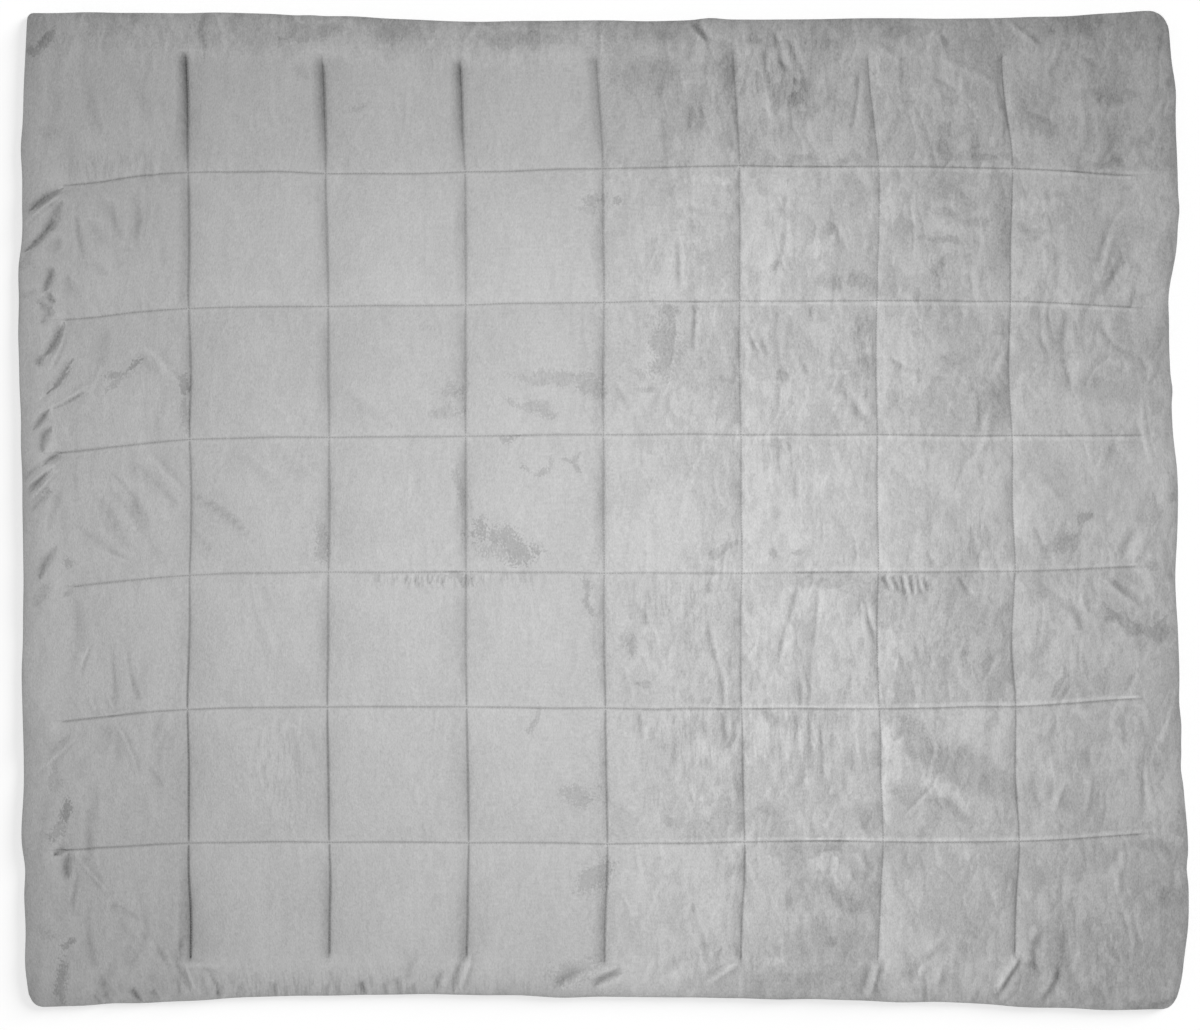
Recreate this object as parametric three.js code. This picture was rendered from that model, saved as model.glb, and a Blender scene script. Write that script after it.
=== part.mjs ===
// Quilted plush blanket lying flat on a level surface, seen from above with its long side left to right.
// Millimetres, +Z up, +X along the long side and +Y along the short side.
// The origin is in the middle of the blanket's box, on the surface that it lies on.
// The blanket is one filled solid: it is crowned between the stitch lines, drawn down along them,
// rounded over to a turned seam at its edge, and flat underneath.

import * as THREE from 'three';

// Overall size of the blanket's box, from edge to edge
const LENGTH = 1525;
const WIDTH = 1300;

// Heights above the surface
const LOFT = 16;
const STITCH_HEIGHT = 6;
const SEAM_HEIGHT = 4.5;

// The edge rises from the seam to the full loft over this width,
// and the face that touches the surface ends this far inside the seam
const EDGE_ROUND = 30;
const SEAM_OVERHANG = 6;

// Quilting: stitch columns run up and down, stitch rows run left to right
const COLUMN_PITCH = 179;
const ROW_PITCH = 176;
const ROWS_MIDDLE_Y = 6;
const COLUMN_GROOVE = 13;
const ROW_GROOVE = 9;
const STITCH_END_FADE = 24;

// Each groove has a steep part beside the thread and a wide, shallow part
const STEEP_SHARE = 0.65;
const WIDE_GROOVE = 3;

// How far the left and right edges are drawn in from the box, from the bottom up
const SIDE_EDGES = [
  { y: -640, left: 16, right: 19 },
  { y: -540, left: 9, right: 2 },
  { y: -434, left: 4, right: 2 },
  { y: -346, left: 8, right: 9 },
  { y: -258, left: 6, right: 13 },
  { y: -170, left: 5, right: 14 },
  { y: -82, left: 7, right: 18 },
  { y: 6, left: 6, right: 14 },
  { y: 94, left: 4, right: 20 },
  { y: 182, left: 2, right: 24 },
  { y: 270, left: 0, right: 27 },
  { y: 357, left: 6, right: 15 },
  { y: 445, left: 4, right: 16 },
  { y: 545, left: 7, right: 21 },
  { y: 640, left: 11, right: 27 },
];

// How far the bottom and top edges are drawn in from the box, from left to right
const END_EDGES = [
  { x: -745, bottom: 1, top: 3 },
  { x: -640, bottom: 6, top: 2 },
  { x: -537, bottom: 13, top: 2 },
  { x: -448, bottom: 18, top: 4 },
  { x: -358, bottom: 19, top: 7 },
  { x: -269, bottom: 22, top: 10 },
  { x: -179, bottom: 21, top: 14 },
  { x: -90, bottom: 19, top: 14 },
  { x: 0, bottom: 18, top: 13 },
  { x: 90, bottom: 17, top: 13 },
  { x: 179, bottom: 17, top: 12 },
  { x: 269, bottom: 14, top: 11 },
  { x: 358, bottom: 12, top: 10 },
  { x: 448, bottom: 9, top: 10 },
  { x: 537, bottom: 4, top: 9 },
  { x: 640, bottom: 0, top: 4 },
  { x: 745, bottom: 0, top: 1 },
];

const CORNER_RADII = { topLeft: 9, topRight: 24, bottomLeft: 20, bottomRight: 16 };

// Stitch columns from left to right: where each starts and stops, and how far it strays
// to the right of its even place at its two ends, at the lowest and highest row, and between them
const STITCH_COLUMNS = [
  { startY: -582, stopY: 587, bottom: -1, low: -4, lower: -5, middle: -2, upper: -3, high: -5, top: -7 },
  { startY: -578, stopY: 582, bottom: 1, low: 1, lower: -2, middle: 0, upper: -1, high: -4, top: -7 },
  { startY: -580, stopY: 578, bottom: 0, low: 3, lower: 0, middle: 0, upper: -1, high: -2, top: -7 },
  { startY: -585, stopY: 585, bottom: 1, low: 5, lower: 1, middle: 0, upper: 0, high: -1, top: -9 },
  { startY: -582, stopY: 590, bottom: 0, low: 5, lower: 0, middle: 1, upper: -2, high: -2, top: -10 },
  { startY: -583, stopY: 587, bottom: -1, low: 6, lower: 0, middle: 0, upper: -2, high: 0, top: -14 },
  { startY: -575, stopY: 587, bottom: -1, low: 4, lower: -2, middle: -2, upper: -8, high: -4, top: -18 },
];

// Stitch rows from the bottom up: where each starts and stops, and how far it strays
// above its even place at its two ends, at the first and last column, and between them
const STITCH_ROWS = [
  { startX: -701, stopX: 698, left: -9, first: 0, nearLeft: 1, middle: -1, nearRight: 2, last: 2, right: 11 },
  { startX: -703, stopX: 692, left: -17, first: -2, nearLeft: 1, middle: -1, nearRight: -1, last: 2, right: 11 },
  { startX: -690, stopX: 692, left: -18, first: -3, nearLeft: 1, middle: 0, nearRight: 0, last: 2, right: 8 },
  { startX: -708, stopX: 694, left: -20, first: -2, nearLeft: 1, middle: 4, nearRight: 4, last: 3, right: 4 },
  { startX: -699, stopX: 685, left: -22, first: -7, nearLeft: -4, middle: 1, nearRight: 2, last: 1, right: -6 },
  { startX: -699, stopX: 687, left: -23, first: -6, nearLeft: -8, middle: -1, nearRight: 2, last: -2, right: -10 },
];

// Main folds of the cloth, each a soft ridge, or a trough where its rise is below zero.
// They fan out from the ends of the stitch lines, where the border is gathered.
const FOLDS = [
  { x: -700, y: 421, toX: -752, toY: 386, width: 8, rise: -5 },
  { x: -698, y: 412, toX: -752, toY: 358, width: 9, rise: 4 },
  { x: -702, y: 402, toX: -755, toY: 332, width: 12, rise: -5 },
  { x: -703, y: 246, toX: -744, toY: 170, width: 12, rise: -5 },
  { x: -694, y: 246, toX: -716, toY: 172, width: 10, rise: 3 },
  { x: -686, y: 200, toX: -728, toY: 144, width: 10, rise: -5 },
  { x: -660, y: 168, toX: -745, toY: 118, width: 11, rise: 4 },
  { x: -670, y: 150, toX: -748, toY: 102, width: 9, rise: -4 },
  { x: -714, y: 112, toX: -732, toY: 70, width: 11, rise: -5 },
  { x: -708, y: 74, toX: -750, toY: 42, width: 8, rise: -4 },
  { x: -706, y: 62, toX: -750, toY: 18, width: 9, rise: -4 },
  { x: -716, y: 26, toX: -746, toY: -6, width: 9, rise: -3 },
  { x: -640, y: 68, toX: -545, toY: -8, width: 12, rise: -3 },
  { x: -682, y: 40, toX: -618, toY: -50, width: 12, rise: -3 },
  { x: -704, y: -42, toX: -736, toY: -92, width: 10, rise: -4 },
  { x: -698, y: -104, toX: -672, toY: -180, width: 14, rise: 3 },
  { x: -690, y: -286, toX: -736, toY: -344, width: 10, rise: -3 },
  { x: -694, y: -374, toX: -712, toY: -424, width: 12, rise: -4 },
  { x: -702, y: -442, toX: -744, toY: -412, width: 10, rise: -3 },
  { x: -696, y: -442, toX: -696, toY: -488, width: 11, rise: -4 },
  { x: -690, y: -440, toX: -600, toY: -536, width: 12, rise: 4 },
  { x: -662, y: -508, toX: -640, toY: -636, width: 12, rise: -3 },
  { x: -626, y: -512, toX: -566, toY: -640, width: 13, rise: -3 },
  { x: -540, y: -586, toX: -490, toY: -634, width: 10, rise: 4 },
  { x: -524, y: -596, toX: -494, toY: -636, width: 9, rise: -4 },
  { x: -178, y: -574, toX: -194, toY: -630, width: 9, rise: -4 },
  { x: -242, y: -578, toX: -254, toY: -622, width: 9, rise: -3 },
  { x: 30, y: -596, toX: -18, toY: -626, width: 10, rise: -4 },
  { x: 184, y: -580, toX: 136, toY: -612, width: 10, rise: 4 },
  { x: 126, y: -574, toX: 74, toY: -604, width: 12, rise: -3 },
  { x: 358, y: -576, toX: 344, toY: -638, width: 10, rise: -4 },
  { x: 436, y: -548, toX: 392, toY: -616, width: 13, rise: -3 },
  { x: 541, y: -572, toX: 508, toY: -640, width: 10, rise: -5 },
  { x: 526, y: -576, toX: 496, toY: -636, width: 9, rise: 4 },
  { x: 600, y: -606, toX: 570, toY: -642, width: 11, rise: -4 },
  { x: 736, y: 66, toX: 676, toY: -58, width: 14, rise: 3 },
];

// Grid lines within each band between two stitch lines, as shares of the band's width.
// Bands run left to right and bottom to top, and are closest where the border folds.
const LEFT_BAND = [0, 0.02, 0.05, 0.09, 0.13, 0.17, 0.22, 0.27, 0.33, 0.4, 0.5, 0.6, 0.7, 0.8, 0.88, 0.95];
const MIDDLE_COLUMN_BAND = [0, 0.06, 0.15, 0.5, 0.85, 0.94];
const RIGHT_BAND = [0, 0.06, 0.15, 0.35, 0.6, 0.8, 0.9, 0.95, 0.98, 1];
const BOTTOM_BAND = [0, 0.02, 0.05, 0.09, 0.14, 0.2, 0.26, 0.33, 0.42, 0.55, 0.7, 0.86, 0.94];
const MIDDLE_ROW_BAND = [0, 0.06, 0.16, 0.29, 0.42, 0.53, 0.63, 0.72, 0.81, 0.89, 0.95];
const TOP_BAND = [0, 0.06, 0.15, 0.4, 0.65, 0.82, 0.91, 0.95, 0.98, 1];

const CROSSING_STEPS = 8;

const PLUSH_GREY = new THREE.MeshStandardMaterial({ color: 0xb8b8b8, roughness: 0.95, metalness: 0 });

// A smooth curve through the given stations
function smoothCurve(stations, values) {
  const curve = new THREE.CubicInterpolant(stations, values, 1);
  return (station) => curve.evaluate(station)[0];
}

// A smooth curve through one named column of a table
function tableCurve(table, stationName, valueOf) {
  return smoothCurve(table.map((row) => row[stationName]), table.map(valueOf));
}

const leftEdge = tableCurve(SIDE_EDGES, 'y', (row) => row.left - LENGTH / 2);
const rightEdge = tableCurve(SIDE_EDGES, 'y', (row) => LENGTH / 2 - row.right);
const bottomEdge = tableCurve(END_EDGES, 'x', (row) => row.bottom - WIDTH / 2);
const topEdge = tableCurve(END_EDGES, 'x', (row) => WIDTH / 2 - row.top);

const evenColumn = (index) => COLUMN_PITCH * (index - (STITCH_COLUMNS.length - 1) / 2);
const evenRow = (index) => ROWS_MIDDLE_Y + ROW_PITCH * (index - (STITCH_ROWS.length - 1) / 2);

// x of a stitch column at any height y
const columnLines = STITCH_COLUMNS.map((column, index) => {
  const { startY, stopY, bottom, low, lower, middle, upper, high, top } = column;
  const lowY = evenRow(0);
  const highY = evenRow(STITCH_ROWS.length - 1);
  const lowerY = (lowY + ROWS_MIDDLE_Y) / 2;
  const upperY = (highY + ROWS_MIDDLE_Y) / 2;
  const stations = [startY, lowY, lowerY, ROWS_MIDDLE_Y, upperY, highY, stopY];
  const strays = [bottom, low, lower, middle, upper, high, top];
  return smoothCurve(stations, strays.map((stray) => evenColumn(index) + stray));
});

// y of a stitch row at any place x
const rowLines = STITCH_ROWS.map((row, index) => {
  const first = evenColumn(0);
  const last = evenColumn(STITCH_COLUMNS.length - 1);
  const stations = [row.startX, first, first / 2, 0, last / 2, last, row.stopX];
  const strays = [row.left, row.first, row.nearLeft, row.middle, row.nearRight, row.last, row.right];
  return smoothCurve(stations, strays.map((stray) => evenRow(index) + stray));
});

// Lines that bound the bands of the grid
const columnBounds = [leftEdge, ...columnLines, rightEdge];
const rowBounds = [bottomEdge, ...rowLines, topEdge];

// Where a grid line runs between the two bounds of its band
function lineInBand(bounds, gridLine, position) {
  const low = bounds[gridLine.band](position);
  const high = bounds[gridLine.band + 1](position);
  return THREE.MathUtils.lerp(low, high, gridLine.share);
}

// Every grid line of one direction: its band's number and its share of that band
function gridLines(firstBand, middleBand, lastBand, bandCount) {
  const middleBands = new Array(bandCount - 2).fill(middleBand);
  const bands = [firstBand, ...middleBands, lastBand];
  return bands.flatMap((shares, band) => shares.map((share) => ({ band, share })));
}

// The crossing of two grid lines, found by stepping from one line to the other
function crossing(columnLine, rowLine) {
  let x = 0;
  let y = 0;
  for (let step = 0; step < CROSSING_STEPS; step += 1) {
    x = lineInBand(columnBounds, columnLine, y);
    y = lineInBand(rowBounds, rowLine, x);
  }
  return { x, y };
}

// Distances from a point to the four edges
function edgeDistances({ x, y }) {
  return {
    left: x - leftEdge(y),
    right: rightEdge(y) - x,
    bottom: y - bottomEdge(x),
    top: topEdge(x) - y,
  };
}

// Rises along a quarter round from 0 at the seam to 1 inside the rounded edge
function edgeRise(distance) {
  const remaining = 1 - THREE.MathUtils.clamp(distance / EDGE_ROUND, 0, 1);
  return Math.sqrt(1 - remaining * remaining);
}

// 1 on a stitch line, falling to 0 in the filled cell beside it
function grooveProfile(distance, reach) {
  const steep = Math.exp(-distance / reach);
  const wide = Math.exp(-distance / (WIDE_GROOVE * reach));
  return STEEP_SHARE * steep + (1 - STEEP_SHARE) * wide;
}

// 1 between the two ends of a stitch line, falling to 0 past them
function stitchPresence(position, start, stop) {
  const beyond = Math.max(start - position, position - stop, 0) / STITCH_END_FADE;
  return Math.exp(-beyond * beyond);
}

// How far the stitching leaves the cloth free to rise: 0 on a line, 1 in the middle of a cell
function freeLoft({ x, y }) {
  let free = 1;
  STITCH_COLUMNS.forEach((column, index) => {
    const presence = stitchPresence(y, column.startY, column.stopY);
    free *= 1 - presence * grooveProfile(Math.abs(x - columnLines[index](y)), COLUMN_GROOVE);
  });
  STITCH_ROWS.forEach((row, index) => {
    const presence = stitchPresence(x, row.startX, row.stopX);
    free *= 1 - presence * grooveProfile(Math.abs(y - rowLines[index](x)), ROW_GROOVE);
  });
  return free;
}

// Height that one fold adds at a point: it swells and dies out along its length
function foldHeight(fold, { x, y }) {
  const runX = fold.toX - fold.x;
  const runY = fold.toY - fold.y;
  const length = Math.hypot(runX, runY);
  const along = ((x - fold.x) * runX + (y - fold.y) * runY) / (length * length);
  const across = ((x - fold.x) * runY - (y - fold.y) * runX) / (length * fold.width);
  const swell = Math.sin(Math.PI * THREE.MathUtils.clamp(along, 0, 1));
  return fold.rise * swell * Math.exp(-across * across);
}

// Height of the upper face above the surface
function clothHeight(point) {
  const edges = edgeDistances(point);
  const rise = edgeRise(edges.left) * edgeRise(edges.right) * edgeRise(edges.bottom) * edgeRise(edges.top);
  const folds = FOLDS.reduce((height, fold) => height + foldHeight(fold, point), 0);
  const cloth = STITCH_HEIGHT + (LOFT - STITCH_HEIGHT) * freeLoft(point) + folds;
  return SEAM_HEIGHT + (cloth - SEAM_HEIGHT) * rise;
}

// Moves a point near a square corner so that the corner becomes an arc of the given radius
function roundCorner(point, sideDistance, endDistance, sideSign, endSign, radius) {
  if (sideDistance >= radius || endDistance >= radius) {
    return;
  }
  const acrossSide = 1 - sideDistance / radius;
  const acrossEnd = 1 - endDistance / radius;
  const roundedSide = acrossSide * Math.sqrt(1 - acrossEnd * acrossEnd / 2);
  const roundedEnd = acrossEnd * Math.sqrt(1 - acrossSide * acrossSide / 2);
  point.x += sideSign * radius * (roundedSide - acrossSide);
  point.y += endSign * radius * (roundedEnd - acrossEnd);
}

function roundCorners(point) {
  const edges = edgeDistances(point);
  const rounded = { x: point.x, y: point.y };
  roundCorner(rounded, edges.left, edges.top, -1, 1, CORNER_RADII.topLeft);
  roundCorner(rounded, edges.right, edges.top, 1, 1, CORNER_RADII.topRight);
  roundCorner(rounded, edges.left, edges.bottom, -1, -1, CORNER_RADII.bottomLeft);
  roundCorner(rounded, edges.right, edges.bottom, 1, -1, CORNER_RADII.bottomRight);
  return rounded;
}

// Numbers of the grid points round the edge, counter-clockwise from the bottom left corner
function edgeLoop(columnCount, rowCount) {
  const loop = [];
  for (let column = 0; column < columnCount - 1; column += 1) {
    loop.push({ column, row: 0 });
  }
  for (let row = 0; row < rowCount - 1; row += 1) {
    loop.push({ column: columnCount - 1, row });
  }
  for (let column = columnCount - 1; column > 0; column -= 1) {
    loop.push({ column, row: rowCount - 1 });
  }
  for (let row = rowCount - 1; row > 0; row -= 1) {
    loop.push({ column: 0, row });
  }
  return loop;
}

// -1 on the first line of a grid, 1 on the last and 0 between
function outwardSign(index, count) {
  if (index === 0) {
    return -1;
  }
  return index === count - 1 ? 1 : 0;
}

// The upper face: a grid of points that follows the stitch lines and the edges.
// Each cell of the grid is split along its flatter diagonal, so that the triangles follow the folds.
function addUpperFace(body) {
  const { columns, rows, positions, triangles, topPoint } = body;
  rows.forEach((rowLine) => {
    columns.forEach((columnLine) => {
      const point = crossing(columnLine, rowLine);
      const place = roundCorners(point);
      positions.push(new THREE.Vector3(place.x, place.y, clothHeight(point)));
    });
  });
  for (let row = 0; row < rows.length - 1; row += 1) {
    for (let column = 0; column < columns.length - 1; column += 1) {
      const nearLeft = topPoint(column, row);
      const nearRight = topPoint(column + 1, row);
      const farLeft = topPoint(column, row + 1);
      const farRight = topPoint(column + 1, row + 1);
      const risingSlope = Math.abs(positions[farRight].z - positions[nearLeft].z);
      const fallingSlope = Math.abs(positions[farLeft].z - positions[nearRight].z);
      if (risingSlope <= fallingSlope) {
        triangles.push(nearLeft, nearRight, farRight, nearLeft, farRight, farLeft);
      } else {
        triangles.push(nearLeft, nearRight, farLeft, nearRight, farRight, farLeft);
      }
    }
  }
}

// The flat underside, a little inside the seam: a strip up to the seam and a fan about the middle
function addUnderside(body) {
  const { columns, rows, positions, triangles, topPoint } = body;
  const loop = edgeLoop(columns.length, rows.length);
  const firstUnder = positions.length;
  loop.forEach(({ column, row }) => {
    const under = positions[topPoint(column, row)].clone();
    under.x -= SEAM_OVERHANG * outwardSign(column, columns.length);
    under.y -= SEAM_OVERHANG * outwardSign(row, rows.length);
    under.z = 0;
    positions.push(under);
  });
  const middle = positions.length;
  positions.push(new THREE.Vector3(0, 0, 0));
  loop.forEach(({ column, row }, index) => {
    const next = (index + 1) % loop.length;
    const seam = topPoint(column, row);
    const nextSeam = topPoint(loop[next].column, loop[next].row);
    const under = firstUnder + index;
    const nextUnder = firstUnder + next;
    triangles.push(under, nextUnder, nextSeam, under, nextSeam, seam);
    triangles.push(under, middle, nextUnder);
  });
}

function blanketGeometry() {
  const columns = gridLines(LEFT_BAND, MIDDLE_COLUMN_BAND, RIGHT_BAND, columnBounds.length - 1);
  const rows = gridLines(BOTTOM_BAND, MIDDLE_ROW_BAND, TOP_BAND, rowBounds.length - 1);
  const topPoint = (column, row) => row * columns.length + column;
  const body = { columns, rows, topPoint, positions: [], triangles: [] };
  addUpperFace(body);
  addUnderside(body);
  const geometry = new THREE.BufferGeometry().setFromPoints(body.positions);
  geometry.setIndex(body.triangles);
  geometry.computeVertexNormals();
  return geometry;
}

// Puts the middle of the box at the origin, with the underside on the surface
function centreOnBox(geometry) {
  geometry.computeBoundingBox();
  const middle = geometry.boundingBox.getCenter(new THREE.Vector3());
  geometry.translate(-middle.x, -middle.y, 0);
  return geometry;
}

const blanket = new THREE.Mesh(centreOnBox(blanketGeometry()), PLUSH_GREY);
blanket.name = 'quilted_blanket';

const part = new THREE.Group();
part.add(blanket);

export default part;
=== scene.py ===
"""Looks of a quilted plush blanket that lies flat on a pale floor, seen from straight above.

Sizes are in millimetres in the part's own frame: +X along the long side, +Y along the short side, +Z up.
They become metres where meshes, lights and the camera are made.
"""
import math

import bpy
import numpy as np
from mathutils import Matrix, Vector


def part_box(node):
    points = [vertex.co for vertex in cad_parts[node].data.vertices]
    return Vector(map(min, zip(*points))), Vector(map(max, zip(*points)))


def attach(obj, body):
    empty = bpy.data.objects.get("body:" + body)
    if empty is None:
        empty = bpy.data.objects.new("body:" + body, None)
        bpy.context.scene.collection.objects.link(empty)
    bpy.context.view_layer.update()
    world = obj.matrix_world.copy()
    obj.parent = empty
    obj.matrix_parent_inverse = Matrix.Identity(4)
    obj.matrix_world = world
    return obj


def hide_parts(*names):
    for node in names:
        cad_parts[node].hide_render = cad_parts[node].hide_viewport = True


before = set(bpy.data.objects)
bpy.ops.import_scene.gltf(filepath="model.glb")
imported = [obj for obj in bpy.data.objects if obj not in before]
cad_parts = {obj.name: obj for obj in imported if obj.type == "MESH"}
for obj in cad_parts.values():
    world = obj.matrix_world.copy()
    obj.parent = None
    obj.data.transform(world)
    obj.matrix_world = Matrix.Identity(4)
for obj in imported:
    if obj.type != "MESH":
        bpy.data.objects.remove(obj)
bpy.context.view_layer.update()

MM = 0.001
WHITE = (1, 1, 1, 1)
BLANKET_NODE = "quilted_blanket"
BODY = "root"


def table(columns, text):
    """A table with named columns, from text with one row to a line. Lines that start with # are comments."""
    lines = [line.split() for line in text.strip().splitlines() if not line.startswith("#")]
    rows = [tuple(float(value) for value in line) for line in lines]
    return np.array(rows, dtype=[(name, float) for name in columns.split()])


# Overall size of the blanket's box, from edge to edge
LENGTH = 1525
WIDTH = 1300

# Heights above the floor
LOFT = 16
STITCH_HEIGHT = 6
SEAM_HEIGHT = 4.5

# The edge rises from the seam to the full loft over this width
EDGE_ROUND = 30

# Quilting: stitch columns run up and down, stitch rows run left to right
COLUMN_PITCH = 179
ROW_PITCH = 176
ROWS_MIDDLE_Y = 6

# Past the ends of the stitch lines, their grooves and creases fade out over these lengths
COLUMN_END_FADE = 6
ROW_END_FADE = 16
CREASE_END_FADE = 3

# Each side of a groove has a round shoulder by the thread and a wide, shallow part.
# The plush is pushed to the left, so the shoulder is wide to the left of a column.
# Here are the width of a row's shoulders, the share of the loft they take, and the reach of all wide parts.
ROW_SHOULDER = 2.5
ROW_STEEP = 0.12
WIDE_FLANK = 36

# The thread pulls a narrow crease into the bottom of each groove
CREASE_DEPTH = 0.8
CREASE_WIDTH = 1.0

# How far the left and right edges are drawn in from the box, from the bottom up
SIDE_EDGES = table("y left right", """
-640 16 19
-540 9 2
-434 4 2
-346 8 9
-258 6 13
-170 5 14
-82 7 18
6 6 14
94 4 20
182 2 24
270 0 27
357 6 15
445 4 16
545 7 21
640 11 27
""")

# How far the bottom and top edges are drawn in from the box, from left to right
END_EDGES = table("x bottom top", """
-745 1 3
-640 6 2
-537 13 2
-448 18 4
-358 19 7
-269 22 10
-179 21 14
-90 19 14
0 18 13
90 17 13
179 17 12
269 14 11
358 12 10
448 9 10
537 4 9
640 0 4
745 0 1
""")

# Small waves of the edges where folds reach them, along y for the side edges and along x for the others:
# how far each reaches to both sides of its place and how far it pushes the edge out
LEFT_WAVES = table("place reach out", """
469 25 2.0
312 32 2.4
85 30 1.2
-467 26 -4.0
-590 40 3.0
""")
RIGHT_WAVES = table("place reach out", """
547 30 5.0
391 18 2.6
248 25 1.7
157 14 2.2
-279 22 3.2
-337 15 -2.2
-467 15 -2.6
-617 30 3.0
""")
BOTTOM_WAVES = table("place reach out", """
-642 30 -2.0
-520 50 2.0
0 500 3.0
""")
TOP_WAVES = table("place reach out", """
-668 30 1.6
-382 15 1.4
138 18 2.7
705 25 1.6
""")

# Radii of the four corners
TOP_LEFT_RADIUS = 9
TOP_RIGHT_RADIUS = 24
BOTTOM_LEFT_RADIUS = 20
BOTTOM_RIGHT_RADIUS = 16

# Stitch columns from left to right: where each starts and stops, how far it strays to the right
# of its even place from its bottom end to its top end, and how far it bows between two rows
STITCH_COLUMNS = table("start stop bottom low lower middle upper high top bow", """
-582 587 -1 -4 -5 -2 -3 -5 -7 2.0
-578 582 1 1 -2 0 -1 -4 -7 0.5
-580 578 0 3 0 0 -1 -2 -7 0.0
-585 585 1 5 1 0 0 -1 -9 0.0
-582 590 0 5 0 1 -2 -2 -10 -0.5
-583 587 -1 6 0 0 -2 0 -14 -1.0
-575 587 -1 4 -2 -2 -8 -4 -18 -2.5
""")

# Stitch rows from the bottom up: where each starts and stops, how far it strays above its even place
# from its left end to its right end, how tightly its thread pulls
# and how strong the painted highlight on its rim is
STITCH_ROWS = table("start stop left first near_left middle near_right last right pull rim", """
-701 698 -9 0 1 -1 2 2 11 1.15 1.3
-703 692 -17 -2 1 -1 -1 2 11 1.3 1.3
-690 692 -18 -3 1 0 0 2 8 0.9 0.5
-708 694 -20 -2 1 4 4 3 4 1.0 0.9
-699 685 -22 -7 -4 1 2 1 -6 0.75 1.0
-699 687 -23 -6 -8 -1 2 -2 -10 1.05 0.8
""")

# Share of the loft that the shoulder to the left of each stitch column takes,
# in the seven stretches of that column from the bottom up
LEFT_STEEP = (
    (0.58, 0.18, 0.12, 0.10, 0.42, 0.45, 0.90),
    (0.48, 0.28, 0.35, 0.37, 0.30, 0.45, 0.75),
    (0.36, 0.22, 0.20, 0.50, 0.42, 0.40, 0.80),
    (0.60, 0.48, 0.50, 0.52, 0.45, 0.55, 0.60),
    (0.50, 0.70, 0.33, 0.42, 0.44, 0.50, 0.50),
    (0.30, 0.53, 0.60, 0.35, 0.50, 0.27, 0.50),
    (0.60, 0.30, 0.43, 0.40, 0.48, 0.40, 0.52),
)

# Shoulders of each stitch column, from left to right:
# their widths, and the share of the loft that the right one takes
COLUMN_SHOULDERS = table("left right right_steep", """
13.5 6 0.08
13.5 6 0.08
13.5 6 0.08
15.0 7 0.15
16.0 10 0.25
17.0 15 0.30
17.0 18 0.35
""")

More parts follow.
